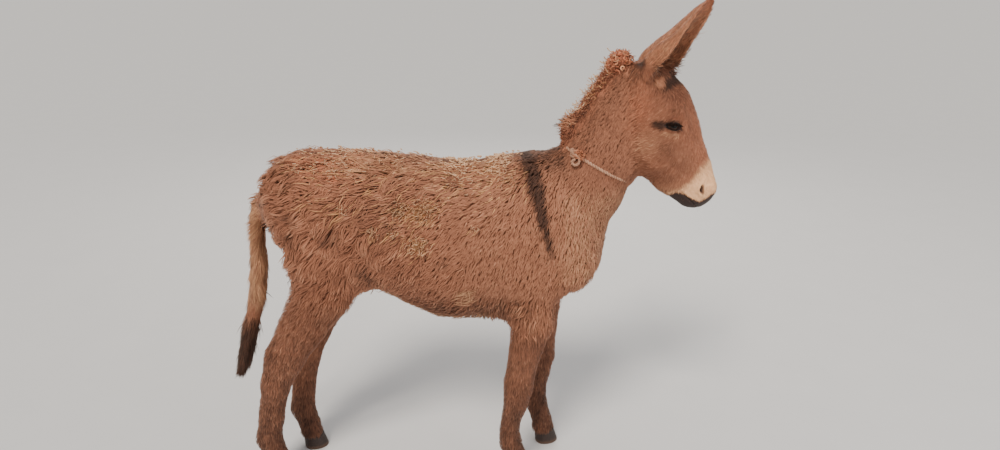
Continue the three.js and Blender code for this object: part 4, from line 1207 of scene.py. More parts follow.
# %% Grow the mane, the forelock and the tail's tuft
def along_line(points, count, seed):
    """Random places along a centre line, with the line's direction and thickness there."""
    rng = np.random.default_rng(SEED + 300 + seed)
    line = through(points, LINE_ROWS)
    tangent = unit(np.gradient(line[:, :3], axis=0))
    index = np.sort(rng.uniform(0, LINE_ROWS - 1, count))
    low = np.clip(index.astype(int), 0, LINE_ROWS - 2)
    part = (index - low)[:, None]
    at = line[low] * (1 - part) + line[low + 1] * part
    return rng, at, unit(tangent[low] * (1 - part) + tangent[low + 1] * part)


def marks_of(count, rng, **tone):
    """Mask values with a little scatter for the marks that tone names, and none for the others."""
    return {
        name: np.clip(tone.get(name, 0.0) + rng.normal(0, 0.10, count), 0, 1) * (name in tone)
        for name in MARKS
    }


def hair_roots(p, n, lie, marks):
    return {"p": p, "n": unit(n), "lie": unit(lie), "uv": patch_of(p), **marks}


# Centre lines: x, y, z, then half the hair's thickness behind or above the line and ahead of it.
LINE_ROWS = 60
MANE_LINE = [
    (0.262, 0, 0.958, 0.012, 0.012), (0.264, 0, 0.990, 0.020, 0.018), (0.272, 0, 1.020, 0.030, 0.020),
    (0.299, 0, 1.050, 0.023, 0.021), (0.320, 0, 1.086, 0.022, 0.021), (0.343, 0, 1.121, 0.022, 0.021),
    (0.367, 0, 1.152, 0.026, 0.021), (0.390, 0, 1.172, 0.036, 0.022), (0.418, 0, 1.176, 0.030, 0.018),
]
FORELOCK_LINE = [
    (0.452, 0, 1.174, 0.014, 0.013), (0.476, 0, 1.180, 0.014, 0.015), (0.502, 0, 1.170, 0.015, 0.022),
    (0.526, 0, 1.149, 0.009, 0.014),
]
TUFT_LINE = [
    (-0.588, 0, 0.482, 0.021, 0.019), (-0.603, 0, 0.434, 0.019, 0.017), (-0.617, 0, 0.385, 0.017, 0.015),
    (-0.631, 0, 0.335, 0.014, 0.012), (-0.647, 0, 0.292, 0.009, 0.008), (-0.660, 0, 0.262, 0.003, 0.003),
]


def crest(points, count, outward, seed, low, high, fan=0.8, jitter=0.3):
    """Roots sunk in the crest and the way that hair stands out of it."""
    rng, at, way = along_line(points, count, seed)
    across = np.array([0.0, 1.0, 0.0])
    up = unit(np.cross(way, np.broadcast_to(across, way.shape)))
    up = up * np.sign(up @ np.array(outward))[:, None]
    offset = rng.uniform(-1, 1, count)
    out = at[:, 3] if outward[0] < 0 else at[:, 4]
    wide = at[:, 4] if outward[0] < 0 else at[:, 3]
    deep = rng.uniform(low, high, count)
    start = at[:, :3] + across * (offset * wide * 0.75)[:, None] - up * (out * deep)[:, None]
    stand = unit(up + across * (offset * fan)[:, None] + rng.normal(0, jitter, (count, 3)))
    room = out * (deep + np.sqrt(np.clip(1 - (offset * 0.75) ** 2, 0, 1)))
    return rng, start, stand, room, way


BACKWARDS = (-0.8, 0, 0.6)
count = 2100
rng, start, stand, room, way = crest(MANE_LINE, count, BACKWARDS, 1, 0.3, 0.9)
marks = marks_of(count, rng, rust=0.42, dark=0.25)
low, high = bump(start[:, 2] - 1.052, 0.030), smooth(1.14, 1.17, start[:, 2])
marks["dark"] = np.clip(marks["dark"] + 0.45 * low - 0.3 * high, 0, 1)
flow = unit(stand - way * rng.uniform(0.1, 0.7, count)[:, None])
roots = hair_roots(start, unit(np.cross(flow, rng.normal(size=(count, 3)))), flow, marks)
mane = grow("mane_hair", roots, room * rng.uniform(0.6, 0.92, count), 0.0016, 0.003, rings=4, clump=8,
            pull=0.6, curl=0.35, spread=0.4, seed=21, slot="mane", soft=0.2)
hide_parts("mane")
count = 480
rng, start, stand, room, way = crest(MANE_LINE, count, BACKWARDS, 2, -0.1, 0.7, jitter=0.4)
high = smooth(1.02, 1.12, start[:, 2])
marks = marks_of(count, rng, rust=0.5, dark=0.22)
marks["pale"] = np.clip(rng.uniform(-0.6, 0.6, count), 0, 1) * (0.3 + 0.7 * high)
marks["straw"] = (rng.uniform(0, 1, count) < 0.3) * high
length = np.clip(room, 0.008, 0.05) * rng.uniform(0.5, 0.82, count)
curls("mane_curls", start, unit(stand - way * 0.35), length, 0.0013, 0.0026, 1.2, marks, 3, steps=11)
count = 240
rng, start, stand, room, way = crest(MANE_LINE[6:], count, BACKWARDS, 4, -0.3, 0.6, jitter=0.7)
start = start.mean(0) + (start - start.mean(0)) * np.array([0.72, 1, 0.85])
marks = marks_of(count, rng, rust=0.9)
marks["pale"] = np.clip(rng.uniform(-1.0, 0.55, count), 0, 1)
marks["dark"] = np.clip(rng.uniform(-0.6, 0.6, count), 0, 1)
curls("poll_bun", start + np.array([0.003, 0, 0.010]), stand, np.clip(room, 0.008, 0.04) * 0.8,
      0.0021, 0.0046, 1.4, marks, 5, steps=13)


def wisp(name, centre, reach, count, way, length, width, lift, seed, slot="coat", **tone):
    """A separate lock of hair that leaves the skin near one point."""
    rng = np.random.default_rng(SEED + seed)
    from_centre = np.linalg.norm(V - np.array(centre), axis=1)
    picked = rng.choice(np.flatnonzero(from_centre < reach), count)
    flow = unit(np.array(way) + rng.normal(0, 0.12, (count, 3)))
    start = V[picked] + rng.normal(0, 0.002, (count, 3))
    roots = hair_roots(start, N[picked], flow, marks_of(count, rng, **tone))
    return grow(name, roots, length, width, lift, rings=3, clump=3, pull=0.75, curl=0.25, spread=0.12,
                seed=seed, slot=slot)


wisp("belly_lock", (-0.018, -0.105, 0.588), 0.024, 110, (0.75, -0.35, 0.62), 0.056, 0.0026, 0.016, 31,
     pale=0.35)
wisp("knot_tuft", (0.300, -0.055, 0.955), 0.016, 90, (-0.3, -0.75, 0.3), 0.021, 0.0018, 0.020, 33,
     rust=0.9, pale=0.15)
wisp("mane_tuft", (0.282, -0.012, 1.024), 0.020, 110, (-0.85, -0.25, 0.20), 0.024, 0.0020, 0.018, 35,
     slot="mane", rust=0.1, pale=0.1)
count = 900
rng, start, stand, room, way = crest(FORELOCK_LINE, count, (0.3, 0, 1.0), 6, 0.2, 0.9, fan=0.5)
marks = marks_of(count, rng, rust=0.2, dark=0.80)
flow = unit(way + stand * 0.8)
forelock = grow("forelock_locks", hair_roots(start, stand, flow, marks), 0.022, 0.0018, 0.007,
                rings=4, clump=9, pull=0.6, curl=0.22, spread=0.35, seed=22, slot="mane", soft=0.2)
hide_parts("forelock")


def tail_hair(count, seed):
    rng, at, way = along_line(TUFT_LINE[:5], count, seed)
    around = rng.uniform(0, 2 * math.pi, count)
    side = unit(np.cross(way, np.array([0.0, 1.0, 0.0])))
    ring = side * np.cos(around)[:, None] + np.array([0.0, 1.0, 0.0]) * np.sin(around)[:, None]
    start = at[:, :3] + ring * (at[:, 3] * 0.50 * np.sqrt(rng.uniform(0, 1, count)))[:, None] - way * 0.035
    marks = marks_of(count, rng, dark=0.0)
    dark = 0.08 + 0.92 * smooth(0.545, 0.480, start[:, 2]) + rng.normal(0, 0.10, count)
    marks["dark"] = np.clip(dark, 0, 1)
    return hair_roots(start, ring, unit(way + ring * 0.08), marks), at[:, 3]


roots, thick = tail_hair(2300, 5)
tuft = grow("tail_tuft_locks", roots, 0.085 * np.clip(thick / 0.018, 0.45, 1), 0.0020, thick * 0.45,
            rings=4, clump=12, pull=0.6, curl=0.10, spread=0.10, seed=23, slot="tail_end")
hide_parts("tail_tuft")

# %% [markdown]
# ## Eyes
# The ball of the eye sits in its socket behind the lids. The clear window bulges a little in front of a dark
# iris, and a donkey's pupil is a lying oval. Iris and pupil are attributes of the ball's own points.

# %% Turn the eyeballs
def eyeball(word, side, count=72):
    """A turned ball with its pole ahead. theta is the angle from the pole, phi the way round it."""
    centre, along, up, out = eye_frame(side)
    theta = np.concatenate([np.linspace(0, 60, 31), np.linspace(64, 180, 24)])
    phi = np.linspace(0, 2 * math.pi, count, endpoint=False)
    rings, flat = [], []
    for a in theta[1:-1]:
        r = EYE["radius"] - 0.0004 + 0.0013 * smooth(40, 16, a)
        s, c = math.sin(math.radians(a)), math.cos(math.radians(a))
        rings.append(centre + r * (out * c + (np.cos(phi)[:, None] * along + np.sin(phi)[:, None] * up) * s))
        flat.append(np.stack([np.full(count, a), a * np.cos(phi), a * np.sin(phi)], 1))
    rows = len(rings)
    poles = [[centre + out * (EYE["radius"] + 0.0009)], [centre - out * EYE["radius"]]]
    verts = np.concatenate(rings + poles)
    flat = np.concatenate(flat + [[[0, 0, 0]], [[180, 0, 0]]])
    k = np.arange(count)
    n = (k + 1) % count
    faces = [np.stack([i * count + k, i * count + n, (i + 1) * count + n], 1) for i in range(rows - 1)]
    faces += [np.stack([i * count + k, (i + 1) * count + n, (i + 1) * count + k], 1) for i in range(rows - 1)]
    faces += [np.stack([np.full(count, rows * count), n, k], 1)]
    faces += [np.stack([np.full(count, rows * count + 1), (rows - 1) * count + k, (rows - 1) * count + n], 1)]
    faces = np.concatenate(faces)
    a, b, c = (verts[faces[:, i]] - centre for i in range(3))
    if np.einsum("ij,ij->i", a, np.cross(b, c)).sum() < 0:
        faces = faces[:, ::-1]
    mesh = mesh_of(f"eyeball_{word}", verts, faces)
    set_attribute(mesh, "iris", smooth(56, 51, flat[:, 0]))
    set_attribute(mesh, "ring", smooth(42, 54, flat[:, 0]))
    set_attribute(mesh, "pupil", smooth(1.25, 0.9, np.hypot(flat[:, 1] / 25, flat[:, 2] / 13)))
    set_attribute(mesh, "spoke", np.arctan2(flat[:, 2], flat[:, 1]))
    ball = object_of(mesh)
    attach(ball, "root")
    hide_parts(f"eye_{word}")
    return ball


EYEBALLS = [eyeball(word, side) for word, side in SIDES.items()]
print("eyeballs", [len(triangles(ball.data)) for ball in EYEBALLS], "triangles each")

# %% [markdown]
# ## Hooves
# A donkey's hoof is a narrow, upright box of horn. New horn grows down from the coronet and leaves rings,
# the wall stands on its edge, and the sole is hollowed round the frog. The wall follows the solid's own
# rings and the sole stays clear of the floor.

# %% Shape the hooves
HOOF_AT = {
    "forehoof_right": (0.146, 0.082), "forehoof_left": (0.230, 0.101),
    "hindhoof_right": (-0.540, 0.078), "hindhoof_left": (-0.482, 0.074),
}
WALL = {"height": 0.0385, "half_length": 0.036, "half_width": 0.029, "toe": 0.017, "flare": 0.006}
# Rings of the sole: share of the wall's outline, height. Rings of the crown: share, rise over the wall.
SOLE = (
    (0.93, 0.0), (0.86, 0.0), (0.84, 0.0016), (0.78, 0.0019), (0.60, 0.0032), (0.35, 0.0042), (0.12, 0.0046),
)
CROWN = ((0.95, 0.0014), (0.88, 0.0034), (0.78, 0.0052), (0.60, 0.0066), (0.25, 0.0072))


def hoof_wall(angle, z, inward):
    share = z / 0.060
    spread = np.interp(share, [0, 0.08, 0.5, 1], [0.9, 0.93, 0.9, 0.86])
    c, s = np.cos(angle), np.sin(angle)
    reach = WALL["half_length"] * np.where(c > 0, 1, 0.86) * spread - inward
    x = WALL["toe"] * (1 - share) * (0.35 + 0.65 * np.maximum(c, 0)) + reach * c
    y = (WALL["half_width"] * spread + WALL["flare"] * (1 - share) - inward) * s
    # The heels are parted behind by the cleft over the frog.
    x = x + 0.004 * np.exp(-((s / 0.30) ** 2)) * (c < 0) * (1 - 0.4 * share)
    return x, y


def hoof(name, rows=34, around=64):
    cx, cy = HOOF_AT[name]
    cy *= -1 if name.endswith("right") else 1
    angle = np.linspace(0, 2 * math.pi, around, endpoint=False)
    top = np.full(around, WALL["height"])
    for _ in range(3):
        top = WALL["height"] + 0.0015 + 0.06 * hoof_wall(angle, top, 0)[0]
    rings = []
    for i in range(rows):
        t = i / (rows - 1)
        z = top * t
        below = top - z
        waves = np.sin(z / 0.0011 + 1.5 * np.sin(angle))
        growth = 0.00022 * waves * smooth(0.0, 0.004, z) * smooth(0.002, 0.007, below)
        band = 0.0007 * bump(below - 0.0025, 0.0025)
        edge = 0.0011 * smooth(0.0016, 0.0, z)
        x, y = hoof_wall(angle, z, 0.0006 + edge - growth - band)
        rings.append(np.stack([cx + x, cy + y, z], 1))
    sole = []
    for share, z in SOLE:
        x, y = hoof_wall(angle, np.zeros(around), 0.0017)
        x, y = (x - 0.004) * share + 0.004, y * share
        frog = bump(y, 0.0022 + 0.30 * np.clip(0.010 - x, 0, 0.04)) * smooth(0.014, 0.004, x) * (share < 0.8)
        sole.append(np.stack([cx + x, cy + y, np.full(around, z) * (1 - 0.75 * frog)], 1))
    crown = []
    for share, rise in CROWN:
        x, y = hoof_wall(angle, top, 0.0010)
        crown.append(np.stack([cx + x * share, cy + y * share, top + rise], 1))
    rings = sole[::-1] + rings + crown
    verts = np.concatenate(rings + [[[cx + 0.004, cy, 0.0046]], [[cx, cy, float(top.mean()) + 0.0073]]])
    k = np.arange(around)
    n = (k + 1) % around
    faces = []
    for i in range(len(rings) - 1):
        a, b = i * around, (i + 1) * around
        faces += [np.stack([a + k, a + n, b + n], 1), np.stack([a + k, b + n, b + k], 1)]
    end = len(rings) * around
    last = end - around
    faces += [np.stack([np.full(around, end), n, k], 1)]
    faces += [np.stack([np.full(around, end + 1), last + k, last + n], 1)]
    obj = object_of(mesh_of(name + "_horn", verts, np.concatenate(faces)))
    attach(obj, "root")
    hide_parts(name)
    return obj


HOOVES = [hoof(name) for name in HOOF_AT]
print("hooves", sum(len(triangles(h.data)) for h in HOOVES), "triangles")

# %% [markdown]
# ## Bristles, chips and twine from node trees
# Lashes, whiskers, straw and twine repeat one simple form along points or a path, so a geometry node tree
# makes them. Points carry the way, lean and length of each bristle. The result is realised as plain mesh.

# %% Bristle and twine trees
GEOMETRY, INTEGER, MATERIAL = "NodeSocketGeometry", "NodeSocketInt", "NodeSocketMaterial"


class Tree:
    """A thin hand on a node tree: adds nodes and joins them by socket name."""

    def __init__(self, tree):
        self.tree = tree

    def node(self, kind, inputs=None, **settings):
        node = self.tree.nodes.new(kind)
        for key, value in settings.items():
            setattr(node, key, value)
        for key, value in (inputs or {}).items():
            self.give(node.inputs[key], value)
        return node

    def give(self, socket, value):
        if isinstance(value, bpy.types.NodeSocket):
            self.tree.links.new(value, socket)
        elif value is not None:
            socket.default_value = value

    def link(self, a, b):
        self.tree.links.new(a, b)

    def attribute(self, name):
        return self.out("Fac", "ShaderNodeAttribute", attribute_name=name)

    def named(self, name, kind="FLOAT"):
        return self.out("Attribute", "GeometryNodeInputNamedAttribute", {"Name": name}, data_type=kind)

    def out(self, output, kind, inputs=None, **settings):
        return self.node(kind, inputs, **settings).outputs[output]

    def place(self):
        return self.out("Object", "ShaderNodeTexCoord")

    def relief(self, shader, height, strength, distance):
        node = self.node("ShaderNodeBump", {"Strength": strength, "Distance": distance, "Height": height})
        self.link(node.outputs["Normal"], shader.inputs["Normal"])

    def mix(self, factor, a, b):
        node = self.node("ShaderNodeMix", data_type="RGBA")
        for key, value in ((0, factor), (6, a), (7, b)):
            self.give(node.inputs[key], value)
        return node.outputs[2]

    def math(self, operation, a, b=0.0):
        node = self.node("ShaderNodeMath", operation=operation)
        self.give(node.inputs[0], a)
        self.give(node.inputs[1], b)
        return node.outputs[0]

    def vector(self, operation, a, b=None, scale=None):
        node = self.node("ShaderNodeVectorMath", operation=operation)
        self.give(node.inputs[0], a)
        self.give(node.inputs[1], b)
        if scale is not None:
            self.give(node.inputs["Scale"], scale)
        return node.outputs[0]

    def noise(self, scale, detail, vector):
        inputs = {"Scale": scale, "Detail": detail, "Roughness": 0.55, "Vector": vector}
        return self.out("Fac", "ShaderNodeTexNoise", inputs)

    def range(self, value, lo, hi):
        """The share of value's way from lo to hi, held between 0 and 1."""
        inputs = {"Value": value, "From Min": lo, "From Max": hi}
        return self.out("Result", "ShaderNodeMapRange", inputs, clamp=True)


def group(name, inputs, outputs, kind="ShaderNodeTree"):
    """A new node group with its hand, its input node and its output node."""
    tree = bpy.data.node_groups.new(name, kind)
    for label, socket_type, value in inputs:
        socket = tree.interface.new_socket(label, in_out="INPUT", socket_type=socket_type)
        if value is not None:
            socket.default_value = value
    for label, socket_type in outputs:
        tree.interface.new_socket(label, in_out="OUTPUT", socket_type=socket_type)
    hand = Tree(tree)
    return hand, tree.nodes.new("NodeGroupInput"), tree.nodes.new("NodeGroupOutput")


COLOUR, FLOAT, VECTOR = "NodeSocketColor", "NodeSocketFloat", "NodeSocketVector"


def swept(g, curve, ring):
    """A closed tube with the given profile along a curve."""
    inputs = {"Curve": curve, "Profile Curve": ring, "Fill Caps": True}
    return g.out("Mesh", "GeometryNodeCurveToMesh", inputs)


def finished(g, mesh, own_material, end):
    """Hand the mesh over with its material and return the tree."""
    done = g.out("Geometry", "GeometryNodeSetMaterial", {"Geometry": mesh, "Material": own_material})
    g.link(done, end.inputs["Mesh"])
    return g.tree


def bristle_tree():
    """One bent tapered bristle on every point. Width, thickness and bend are shares of its length."""
    g, start, end = group(
        "bristles",
        [("Points", GEOMETRY, None), ("Width", FLOAT, 0.02), ("Thickness", FLOAT, 0.02), ("Bend", FLOAT, 0.2),
         ("Taper", FLOAT, 0.9), ("Steps", INTEGER, 5), ("Sides", INTEGER, 3), ("Material", MATERIAL, None)],
        [("Mesh", GEOMETRY)], "GeometryNodeTree",
    )
    i = start.outputs
    tip = g.out(0, "ShaderNodeCombineXYZ", {"X": i["Bend"], "Z": 1.0})
    arc = {"Resolution": i["Steps"], "Start": (0, 0, 0), "Middle": (0, 0, 0.6), "End": tip}
    curve = g.out("Curve", "GeometryNodeCurveQuadraticBezier", arc)
    along = g.out("Factor", "GeometryNodeSplineParameter")
    radius = g.math("SUBTRACT", 1.0, g.math("MULTIPLY", g.math("POWER", along, 1.6), i["Taper"]))
    curve = g.out("Curve", "GeometryNodeSetCurveRadius", {"Curve": curve, "Radius": radius})
    ring = g.out("Curve", "GeometryNodeCurvePrimitiveCircle", {"Resolution": i["Sides"], "Radius": 0.5})
    shape = g.out(0, "ShaderNodeCombineXYZ", {"X": i["Thickness"], "Y": i["Width"], "Z": 1.0})
    ring = g.out("Geometry", "GeometryNodeTransform", {"Geometry": ring, "Scale": shape})
    bristle = swept(g, curve, ring)
    turn = g.node("FunctionNodeAlignRotationToVector", {"Vector": g.named("way", "FLOAT_VECTOR")}, axis="Z")
    turn = g.node(
        "FunctionNodeAlignRotationToVector",
        {"Rotation": turn.outputs[0], "Vector": g.named("lean", "FLOAT_VECTOR")}, axis="X", pivot_axis="Z",
    )
    stand = {"Points": i["Points"], "Instance": bristle, "Rotation": turn.outputs[0]}
    stand["Scale"] = g.named("reach")
    many = g.out("Instances", "GeometryNodeInstanceOnPoints", stand)
    real = g.out("Geometry", "GeometryNodeRealizeInstances", {"Geometry": many})
    return finished(g, real, i["Material"], end)


def twine_tree():
    """Two strands wound about a path."""
    g, start, end = group(
        "twine",
        [("Path", GEOMETRY, None), ("Points", INTEGER, 400), ("Turns", FLOAT, 40.0), ("Lay", FLOAT, 0.0017),
         ("Strand", FLOAT, 0.0019), ("Sides", INTEGER, 8), ("Material", MATERIAL, None)],
        [("Mesh", GEOMETRY)], "GeometryNodeTree",
    )
    i = start.outputs
    curve = g.out("Curve", "GeometryNodeMeshToCurve", {"Mesh": i["Path"]})
    curve = g.out("Curve", "GeometryNodeResampleCurve", {"Curve": curve, "Count": i["Points"]})
    factor = g.out("Factor", "GeometryNodeSplineParameter")
    normal = g.out("Normal", "GeometryNodeInputNormal")
    other = g.vector("CROSS_PRODUCT", g.out("Tangent", "GeometryNodeInputTangent"), normal)
    profile = {"Resolution": i["Sides"], "Radius": i["Strand"]}
    ring = g.out("Curve", "GeometryNodeCurvePrimitiveCircle", profile)
    join = g.node("GeometryNodeJoinGeometry")
    for phase in (0.0, math.pi):
        angle = g.math("ADD", g.math("MULTIPLY", g.math("MULTIPLY", factor, i["Turns"]), 2 * math.pi), phase)
        a = g.vector("SCALE", normal, scale=g.math("MULTIPLY", g.math("COSINE", angle), i["Lay"]))
        b = g.vector("SCALE", other, scale=g.math("MULTIPLY", g.math("SINE", angle), i["Lay"]))
        wound = {"Geometry": curve, "Offset": g.vector("ADD", a, b)}
        strand = swept(g, g.out("Geometry", "GeometryNodeSetPosition", wound), ring)
        g.link(strand, join.inputs["Geometry"])
    return finished(g, join.outputs["Geometry"], i["Material"], end)


BRISTLES, TWINE = bristle_tree(), twine_tree()


def grown(name, mesh, tree, material, **inputs):
    """Run a node tree on a mesh and keep what it makes as a plain mesh object."""
    seed_object = object_of(mesh)
    modifier = seed_object.modifiers.new("grow", "NODES")
    modifier.node_group = tree
    for item in tree.interface.items_tree:
        if item.in_out == "INPUT" and item.name in inputs:
            modifier[item.identifier] = inputs[item.name]
        if item.in_out == "INPUT" and item.name == "Material":
            modifier[item.identifier] = material
    result = evaluated(seed_object)
    result.name = name
    bpy.data.objects.remove(seed_object)
    result.polygons.foreach_set("use_smooth", np.ones(len(result.polygons), dtype=bool))
    obj = object_of(result)
    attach(obj, "root")
    print(f"{name}: {len(triangles(result))} triangles")
    return obj


def points_of(name, at, way, lean, reach):
    mesh = bpy.data.meshes.new(name)
    mesh.from_pydata([tuple(p) for p in at], [], [])
    for label, values in {"way": way, "lean": lean, "reach": reach}.items():
        set_attribute(mesh, label, values)
    return mesh


def path_of(name, points, closed=False):
    mesh = bpy.data.meshes.new(name)
    edges = [(i, i + 1) for i in range(len(points) - 1)] + ([(len(points) - 1, 0)] if closed else [])
    mesh.from_pydata([tuple(p) for p in points], edges, [])
    return mesh


# %% [markdown]
# ## Materials
# One node group mixes the coat's colours from the masks and also gives the fine streaks of hair as a height.
# Fur and hide share it, and each of them keeps its own surface shader.

# %% Node groups
def srgb(r, g, b):
    def channel(c):
        c /= 255
        return c / 12.92 if c <= 0.04045 else ((c + 0.055) / 1.055) ** 2.4

    return (channel(r), channel(g), channel(b), 1.0)


# Hair colours laid over the dun in this order: mask, strength, stretch of tone, its dark and light end.
HAIR_COLOURS = (
    ("Rust", 0.8, (0.2, 1.0), (122, 64, 42), (246, 146, 104)),
    ("Pale", 1, (0.2, 0.9), (216, 148, 108), (255, 202, 152)),
    ("Straw", 0.75, (0.2, 0.9), (184, 108, 58), (246, 190, 132)),
    ("Dark", 1, (0.2, 1.1), (38, 25, 20), (84, 55, 42)),
)


def coat_colour_group():
    g, start, end = group(
        "coat_colour",
        [(mask, FLOAT, 0.0) for mask in ("Pale", "Dark", "Rust", "Black", "Straw")]
        + [("Along", FLOAT, 0.5), ("Shade", FLOAT, 0.5), ("Position", VECTOR, None)],
        [("Color", COLOUR), ("Streak", FLOAT)],
    )
    i = start.outputs
    dun, deep = srgb(183, 121, 91), srgb(116, 71, 51)
    broad = g.noise(9.0, 3.0, i["Position"])
    fine = g.noise(160.0, 2.0, i["Position"])
    tone = g.math("ADD", g.math("MULTIPLY", i["Shade"], 0.55), g.math("MULTIPLY", broad, 0.35))
    tone = g.math("ADD", tone, g.math("MULTIPLY", i["Along"], 0.30))
    tone = g.math("ADD", tone, 0.10)
    tone = g.math("ADD", tone, g.math("MULTIPLY", g.math("SUBTRACT", fine, 0.5), 0.30))
    colour = g.mix(g.range(tone, 0.18, 1.0), deep, dun)
    colour = g.mix(g.range(tone, 0.85, 1.3), colour, srgb(214, 160, 126))
    for mask, strength, (low, high), dark, light in HAIR_COLOURS:
        cover = i[mask] if strength == 1 else g.math("MULTIPLY", i[mask], strength)
        colour = g.mix(cover, colour, g.mix(g.range(tone, low, high), srgb(*dark), srgb(*light)))
    colour = g.mix(i["Black"], colour, g.mix(fine, srgb(34, 24, 22), srgb(66, 48, 43)))
    g.link(colour, end.inputs["Color"])
    g.link(fine, end.inputs["Streak"])
    return g.tree


COAT_COLOUR = coat_colour_group()


def material(name, **constants):
    """A new material, the hand on its tree and its shader. A constant's name has _ for each space."""
    mat = bpy.data.materials.new(name)
    mat.use_nodes = True
    hand = Tree(mat.node_tree)
    shader = mat.node_tree.nodes["Principled BSDF"]
    for key, value in constants.items():
        shader.inputs[key.replace("_", " ")].default_value = value
    return mat, hand, shader


def coat_material(name, bump_height, roughness, sheen):
    mat, hand, shader = material(
        name, Specular_IOR_Level=0.25, Roughness=roughness, Sheen_Weight=sheen,
        Sheen_Tint=(1.0, 0.85, 0.72, 1.0),
    )
    inputs = {"Position": hand.place()}
    for label in ("Pale", "Dark", "Rust", "Black", "Straw", "Along", "Shade"):
        inputs[label] = hand.attribute(label.lower())
    look = hand.node("ShaderNodeGroup", inputs, node_tree=COAT_COLOUR)
    hand.link(look.outputs["Color"], shader.inputs["Base Color"])
    hand.relief(shader, look.outputs["Streak"], 0.5, bump_height)
    return mat


FUR = coat_material("donkey_fur", 0.0006, 0.75, 0.15)
HIDE = coat_material("donkey_hide", 0.0008, 0.6, 0.05)
skin_mesh.materials.append(HIDE)
for obj in COAT_PIECES.values():
    obj.data.materials.append(FUR)
print("coat materials", FUR.name, HIDE.name)

# %% [markdown]
# Horn, eye, twine, straw and lashes each get a surface of their own. Horn is streaked downwards and ringed
# across, dusty at the ground. The eye is wet and glossy over a brown iris.

# %% Other materials
def eye_material():
    mat, hand, shader = material(
        "donkey_eye", Roughness=0.12, Specular_IOR_Level=0.08,
        Coat_Weight=0.5, Coat_Roughness=0.02, Coat_IOR=1.36,
    )
    place = hand.place()
    fibre = hand.noise(900.0, 3.0, place)
    spokes = hand.math("ABSOLUTE", hand.math("SINE", hand.math("MULTIPLY", hand.attribute("spoke"), 34.0)))
    grain = hand.math("MULTIPLY", hand.math("ADD", fibre, spokes), 0.5)
    iris = hand.mix(grain, srgb(30, 18, 12), srgb(72, 42, 26))
    colour = hand.mix(hand.attribute("iris"), hand.mix(fibre, srgb(24, 17, 14), srgb(44, 33, 28)), iris)
    colour = hand.mix(hand.math("MULTIPLY", hand.attribute("ring"), 0.85), colour, srgb(22, 15, 13))
    colour = hand.mix(hand.attribute("pupil"), colour, srgb(7, 7, 10))
    hand.link(colour, shader.inputs["Base Color"])
    return mat


def horn_material():
    mat, hand, shader = material("donkey_horn", Roughness=0.5, Specular_IOR_Level=0.35)
    place = hand.place()
    streak = hand.noise(1.0, 4.0, hand.vector("MULTIPLY", place, (420.0, 420.0, 28.0)))
    ring = hand.noise(1.0, 2.0, hand.vector("MULTIPLY", place, (12.0, 12.0, 520.0)))
    height = hand.out("Z", "ShaderNodeSeparateXYZ", {"Vector": place})
    colour = hand.mix(streak, srgb(34, 25, 22), srgb(70, 54, 47))
    colour = hand.mix(hand.math("MULTIPLY", ring, 0.4), colour, srgb(50, 39, 34))
    dust = hand.math("MULTIPLY", hand.range(height, 0.014, 0.001), hand.noise(160.0, 4.0, place))
    colour = hand.mix(dust, colour, srgb(122, 90, 70))
    hand.link(colour, shader.inputs["Base Color"])
    hand.relief(shader, hand.math("ADD", streak, ring), 0.5, 0.0004)
    return mat


def fibre_material(name, dark, light, scale, relief_height, roughness=0.7):
    mat, hand, shader = material(name, Roughness=roughness, Specular_IOR_Level=0.3)
    place = hand.place()
    grain = hand.noise(1.0, 3.0, hand.vector("MULTIPLY", place, (scale,) * 3))
    broad = hand.noise(60.0, 2.0, place)
    tone = hand.math("ADD", hand.math("MULTIPLY", grain, 0.6), hand.math("MULTIPLY", broad, 0.5))
    hand.link(hand.mix(hand.range(tone, 0.25, 0.85), srgb(*dark), srgb(*light)), shader.inputs["Base Color"])
    hand.relief(shader, grain, 0.6, relief_height)
    return mat


EYE_WET, HORN = eye_material(), horn_material()
ROPE = fibre_material("hemp_twine", (132, 88, 68), (228, 182, 150), 900.0, 0.0003, 0.85)
STRAW = fibre_material("straw", (196, 136, 90), (255, 222, 184), 500.0, 0.0002)
LASH = fibre_material("lashes", (20, 14, 12), (52, 36, 30), 700.0, 0.0001, 0.5)
WHISKER = fibre_material("whiskers", (92, 66, 54), (190, 156, 130), 700.0, 0.0001, 0.5)
for ball in EYEBALLS:
    ball.data.materials.append(EYE_WET)
for horn in HOOVES:
    horn.data.materials.append(HORN)
print("materials", [m.name for m in bpy.data.materials])

# %% [markdown]
# ## Lashes and whiskers
# The upper lid carries a dense fringe that droops over the eye, longest in its middle, and the lower lid a
# thin one. Long feeling hairs stand on lips and chin.

